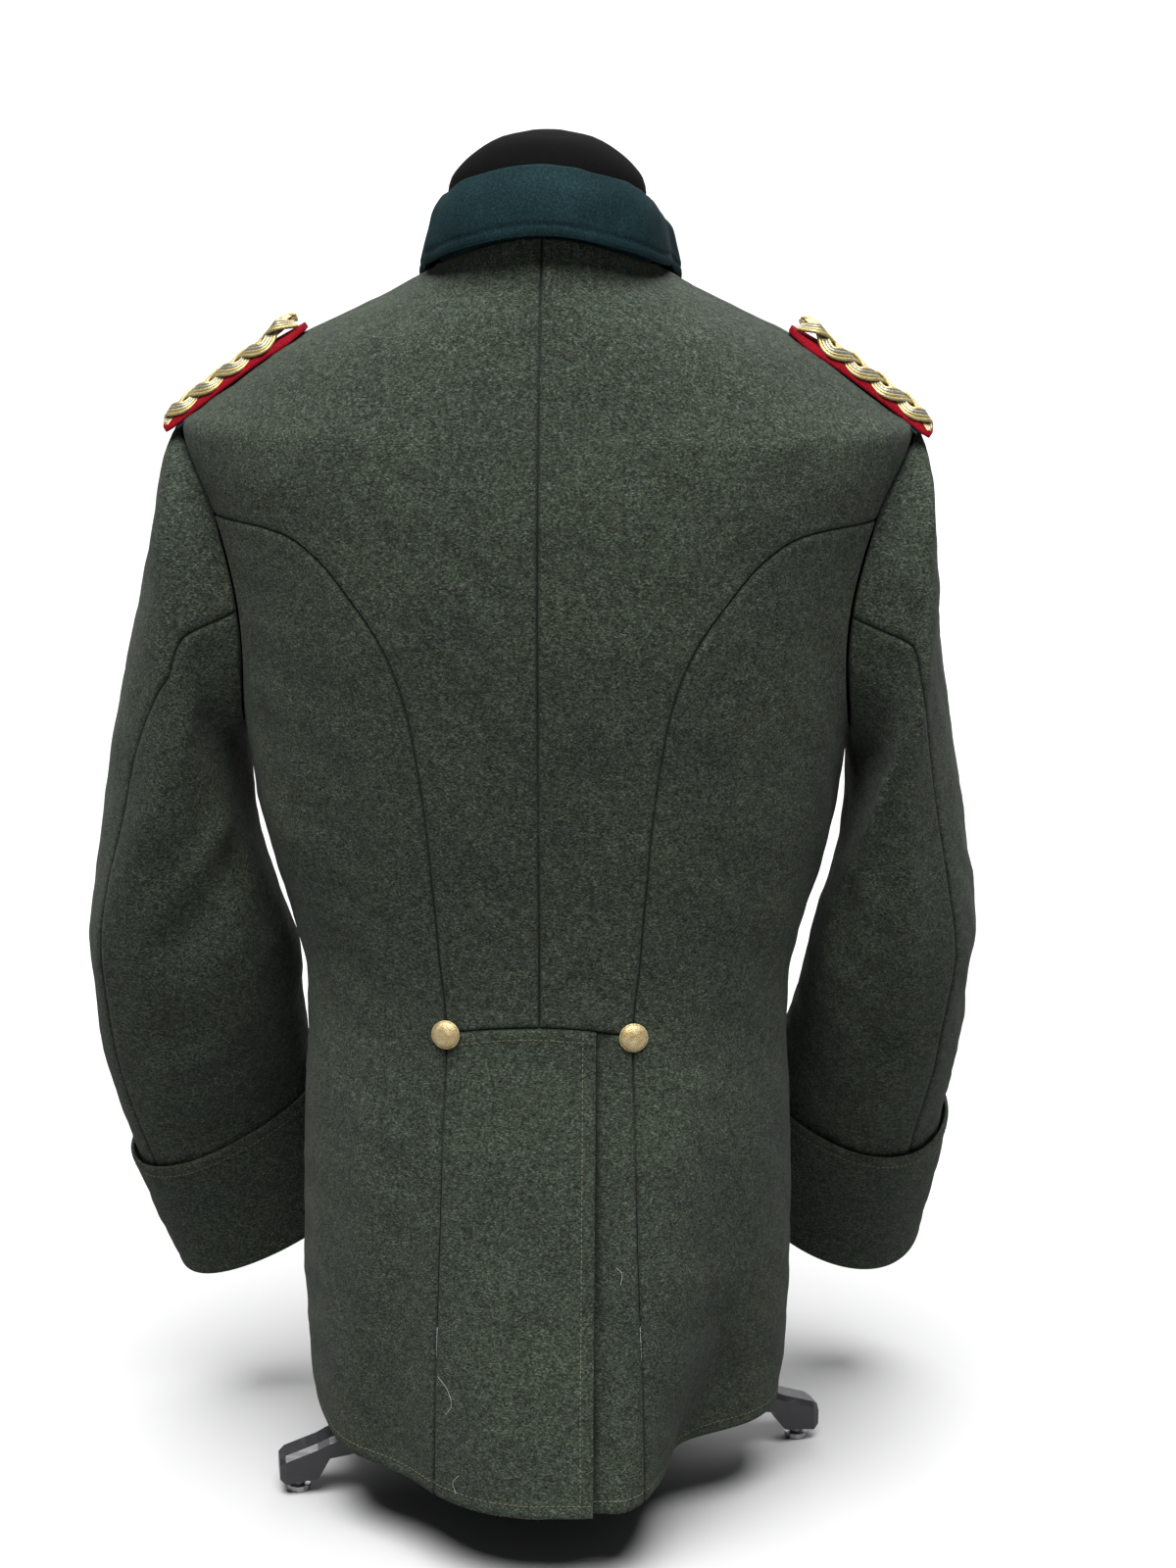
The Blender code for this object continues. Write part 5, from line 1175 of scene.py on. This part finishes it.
# Shoulder boards: red base, a plait of gold and silver cords, cloth loop
boardCut = {
    "rows": [(0.151, 0.7886), (0.175, 0.7747), (0.200, 0.7570), (0.222, 0.7405), (0.240, 0.7267)],
    "halfWidth": 0.0232, "arch": 0.0030, "lift": 0.0018, "thick": 0.0042, "metres": 0.1084,
    "braidStart": 0.035, "braidLength": 0.955, "swing": 0.0186, "turns": 1.70, "start": 4.1,
    "cord": 0.00122, "spacing": 0.0021, "over": 0.0015, "stack": 0.0011, "twist": 900.0,
    "eyeRise": 0.0052, "eyeAt": 0.10, "eyeReach": 0.10, "narrow": 0.50, "widenBy": 0.20, "tuckFrom": 0.93,
}
baseCut = {
    "cuts": 23, "neckRound": 0.22, "neckNarrow": 0.30, "endTaper": 0.10, "endFrom": 0.95,
    "rollFrom": 0.84, "rollWidth": 0.16, "bevel": 0.0006,
}


def boardPoint(along, across, lift):  # metres along from the neck end, metres across, metres above the cloth
    along, across, lift = np.broadcast_arrays(*(np.asarray(v, dtype=float) for v in (along, across, lift)))
    start, end = boardCut["rows"][0][0], boardCut["rows"][-1][0]
    x = start + (end - start) * along
    z = readRows(boardCut["rows"], x)[..., 0]
    before, after = np.maximum(x - 0.001, start), np.minimum(x + 0.001, end)
    fall = readRows(boardCut["rows"], after)[..., 0] - readRows(boardCut["rows"], before)[..., 0]
    slope = fall / (after - before)
    size = np.sqrt(1 + slope ** 2)
    rise = lift - boardCut["arch"] * (across / boardCut["halfWidth"]) ** 2
    return np.stack([x - slope / size * rise, across, z + rise / size], -1)


def tubeAlong(name, path, radius, material, lobes=3, depth=0.10, sides=10, twist=0.0):
    path = np.asarray(path, dtype=float)
    tangents = np.gradient(path, axis=0)
    tangents /= np.linalg.norm(tangents, axis=1)[:, None]
    side = np.cross(tangents, np.array([0.05, 0.1, 1.0]))
    side /= np.linalg.norm(side, axis=1)[:, None]
    upward = np.cross(side, tangents)
    travelled = tallyAlong(path)
    angles = np.linspace(0, 2 * math.pi, sides + 1)[:-1]
    rings = []
    for i in range(len(path)):
        size = radius * (1 + depth * np.cos(lobes * (angles - twist * travelled[i])))
        sideways, rise = (size * np.cos(angles))[:, None], (size * np.sin(angles))[:, None]
        rings.append(path[i] + side[i] * sideways + upward[i] * rise)
    made = meshFromGrid(name, np.array(rings), True, material)
    closeMesh(made.data)
    return made


def joinPieces(name, parts):
    bpy.ops.object.select_all(action="DESELECT")
    for part in parts:
        part.select_set(True)
    bpy.context.view_layer.objects.active = parts[0]
    bpy.ops.object.join()
    parts[0].name = name
    parts[0].select_set(False)
    return parts[0]


def plaitPath(strand, lane, sign):  # three strands over and under each other, each of four cords side by side
    share = np.linspace(0, 1, 130)
    angle = 2 * math.pi * (boardCut["turns"] * share + strand / 3) + boardCut["start"]
    narrow = boardCut["narrow"]
    taper = narrow + (1.0 - narrow) * ease(share, 0.0, boardCut["widenBy"])
    tucked = ease(share, boardCut["tuckFrom"], 1.0)
    forward = boardCut["metres"] * boardCut["braidLength"]
    sideways = boardCut["swing"] * taper * np.cos(angle) * 2 * math.pi * boardCut["turns"]
    size = np.hypot(forward, sideways)
    offset = lane * boardCut["spacing"] * taper
    along = boardCut["braidStart"] + boardCut["braidLength"] * share
    along = along - offset * sideways / size / boardCut["metres"]
    across = boardCut["swing"] * taper * np.sin(angle) + offset * forward / size
    edge = np.sin(angle)
    height = boardCut["cord"] * 1.1 + boardCut["over"] * (1.0 - np.sin(2 * angle))
    height = height - lane * boardCut["stack"] * edge
    lift = boardCut["lift"] + boardCut["thick"] * (1.0 - 0.20 * edge ** 2) + height * (1.0 - 1.3 * tucked)
    lift = lift + boardCut["eyeRise"] * bell(share - boardCut["eyeAt"], boardCut["eyeReach"])
    return boardPoint(np.clip(along, 0.015, 0.985), across, lift) * np.array([sign, 1, 1]) + middle


def redBase(side, sign):
    bpy.ops.mesh.primitive_cube_add(size=1.0, location=(0, 0, 0))
    made = bpy.context.active_object
    made.name = "boardBase" + side.title()
    bpy.ops.object.mode_set(mode="EDIT")
    bpy.ops.mesh.select_all(action="SELECT")
    bpy.ops.mesh.subdivide(number_cuts=baseCut["cuts"])
    bpy.ops.object.mode_set(mode="OBJECT")
    for vertex in made.data.vertices:
        along, across, height = vertex.co.x + 0.5, vertex.co.y * 2.0, vertex.co.z + 0.5
        neck = math.sqrt(max(1.0 - (1.0 - min(along / baseCut["neckRound"], 1.0)) ** 2, 0.0))
        half = boardCut["halfWidth"] * max(neck, baseCut["neckNarrow"])
        half = half * (1.0 - baseCut["endTaper"] * float(ease(along, baseCut["endFrom"], 1.0)))
        nearEdge = max(abs(across) - baseCut["rollFrom"], 0.0) / baseCut["rollWidth"]
        roll = math.sqrt(max(1.0 - nearEdge ** 2, 0.0))
        share = 0.36 + 0.14 * roll + (height - 0.5) * (0.25 + 0.75 * roll)
        lift = boardCut["lift"] + boardCut["thick"] * share
        place = boardPoint(along, across * half, lift)
        vertex.co = Vector((sign * place[0] + middle[0], place[1] + middle[1], place[2] + middle[2]))
    made.data.materials.append(redCloth)
    if sign < 0:
        made.data.flip_normals()
    bevel = made.modifiers.new("edge", "BEVEL")
    bevel.width = baseCut["bevel"]
    bevel.segments = 2
    bevel.limit_method = "ANGLE"
    applyModifiers(made)
    finishPiece(made, 50.0, "board_" + side)


def makeBoard(side, sign):
    redBase(side, sign)
    gold, silver = [], []
    for strand in range(3):
        for lane in (-1.5, -0.5, 0.5, 1.5):
            cords, thread = (silver, silverThread) if lane == 0.5 else (gold, goldThread)
            path = plaitPath(strand, lane, sign)
            cords.append(tubeAlong("cord", path, boardCut["cord"], thread, sides=9, twist=boardCut["twist"]))
    finishPiece(joinPieces("goldPlait" + side.title(), gold), 70.0, "braid_" + side)
    finishPiece(joinPieces("silverCord" + side.title(), silver), 70.0)
    makeLoop(side, sign)


loopCut = {"half": 0.0265, "from": 0.835, "to": 0.925, "lift": 0.0012, "bow": 0.0006, "wall": 0.0008,
           "flat": (0.055, 0.011)}


def makeLoop(side, sign):  # the cloth loop that crosses the board near its outer end
    spread = np.linspace(-loopCut["half"], loopCut["half"], 25)
    lift = loopCut["lift"] + loopCut["bow"] * (spread / boardCut["halfWidth"]) ** 2
    stops = np.linspace(loopCut["from"], loopCut["to"], 8)
    grid = np.array([boardPoint(np.full(25, along), spread, lift) for along in stops])
    grid = grid * np.array([sign, 1, 1]) + middle
    tab = meshFromGrid("boardLoop" + side.title(), grid, False, collarFelt)
    addWall(tab, loopCut["wall"], tab.data.polygons[0].normal[2])
    finishPiece(tab, 60.0, "board_loop_" + side)


layHairs()
makeBoard("left", -1.0)
makeBoard("right", 1.0)
print("shoulder boards laid")


# Buttons: domed and pebbled, with a rolled rim, modelled once
buttonCut = {"radius": 0.0092, "rise": 0.0050, "rim": 0.0007}


def turnedButton():
    bpy.ops.mesh.primitive_uv_sphere_add(segments=40, ring_count=20, radius=1.0, location=(0, 0, 0))
    dome = bpy.context.active_object
    bpy.ops.object.mode_set(mode="EDIT")
    bpy.ops.mesh.select_all(action="SELECT")
    bpy.ops.mesh.bisect(plane_co=(0, 0, 0), plane_no=(0, 0, 1), clear_inner=True, use_fill=True)
    bpy.ops.object.mode_set(mode="OBJECT")
    for vertex in dome.data.vertices:
        x, y, z = vertex.co
        radius, rise = buttonCut["radius"], buttonCut["rise"] - 0.0012
        vertex.co = Vector((x * radius * 0.93, y * radius * 0.93, z * rise + 0.0010))
    thick = buttonCut["rim"]
    bpy.ops.mesh.primitive_torus_add(major_radius=buttonCut["radius"] - thick, minor_radius=thick,
                                     major_segments=40, minor_segments=10, location=(0, 0, thick + 0.0003))
    rim = bpy.context.active_object
    bpy.ops.object.transform_apply(location=True, rotation=True, scale=True)
    made = joinPieces("buttonPattern", [dome, rim])
    made.data.materials.clear()
    made.data.materials.append(gilt)
    smoothShade(made, 40.0)
    return made


def placeButton(pattern, node):
    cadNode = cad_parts[node]
    spots = np.array([cadNode.matrix_world @ vertex.co for vertex in cadNode.data.vertices])
    low, high = spots.min(axis=0), spots.max(axis=0)
    centre = (low + high) / 2
    spread = np.linalg.svd(spots - spots.mean(axis=0))[2][2]  # the flat way of the button is its normal
    outward = spread if spread @ (centre - middle - np.array([0, 0, centre[2]])) > 0 else -spread
    if node.startswith("board"):
        outward = spread if spread[2] > 0 else -spread
    along = (spots - centre) @ outward
    base = centre + outward * along.min()
    radius = np.linalg.norm((spots - centre) - np.outer(along, outward), axis=1).max()
    turnTo = Vector((0, 0, 1)).rotation_difference(Vector(outward)).to_matrix()
    made = pattern.copy()
    made.data = pattern.data.copy()
    made.name = node.replace("_", "") + "Gilt"
    bpy.context.scene.collection.objects.link(made)
    share = radius / buttonCut["radius"]
    for vertex in made.data.vertices:
        vertex.co = turnTo @ (vertex.co * share) + Vector(base)
    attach(made, "root")
    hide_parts(node)


buttonPattern = turnedButton()
for node in sorted(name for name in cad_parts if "button" in name):
    placeButton(buttonPattern, node)
bpy.data.objects.remove(buttonPattern, do_unlink=True)
print("buttons sewn on")


# Stand: legs, hub, pole and feet keep their solids, with rounded edges and real finishes
standEdge = {"width": 0.0009, "segments": 3, "degrees": 38}
for node in sorted(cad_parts):
    if node.startswith(("leg_", "pole", "base_hub", "foot_")):
        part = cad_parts[node]
        part.data.materials.clear()
        part.data.materials.append(greySteel if node.startswith("foot_") else blackPaint)
        rounded = part.modifiers.new("edges", "BEVEL")
        rounded.width = standEdge["width"]
        rounded.segments = standEdge["segments"]
        rounded.limit_method = "ANGLE"
        rounded.angle_limit = math.radians(standEdge["degrees"])
print("stand painted")


# Floor and light
studio = {
    "floor": (0.27, 0.27, 0.27), "floorSize": 400.0, "world": (0.95, 0.97, 1.0), "worldStrength": 0.12,
    "lamps": [  # power, spread, turn, height
        ("softOverhead", 12.0, 44.0, -3.0, 74.0), ("frontFill", 2.9, 50.0, 172.0, 42.0)],
}
bpy.ops.mesh.primitive_plane_add(size=studio["floorSize"], location=(0, 0, -0.0005))
floor = bpy.context.active_object
floor.name = "paleFloor"
floorMaterial, floorShader = newMaterial("paleFloor")[::2]
floorShader.inputs["Base Color"].default_value = (*studio["floor"], 1.0)
floorShader.inputs["Roughness"].default_value = 0.9
floor.data.materials.append(floorMaterial)
for name, power, spread, turnDegrees, heightDegrees in studio["lamps"]:
    light = bpy.data.lights.new(name, "SUN")
    light.energy = power
    light.angle = math.radians(spread)
    lamp = bpy.data.objects.new(name, light)
    lampTurn, lampHeight = math.radians(turnDegrees), math.radians(heightDegrees)
    level = math.cos(lampHeight)
    lampFrom = Vector((math.sin(lampTurn) * level, -math.cos(lampTurn) * level, math.sin(lampHeight)))
    lamp.location = lampFrom * 3.0
    lamp.rotation_euler = (-lampFrom).to_track_quat("-Z", "Y").to_euler()
    bpy.context.scene.collection.objects.link(lamp)
world = bpy.data.worlds.new("studioWorld")
world.use_nodes = True
background = world.node_tree.nodes["Background"]
background.inputs["Color"].default_value = (*studio["world"], 1.0)
background.inputs["Strength"].default_value = studio["worldStrength"]
bpy.context.scene.world = world
bpy.context.scene.view_settings.view_transform = "Standard"
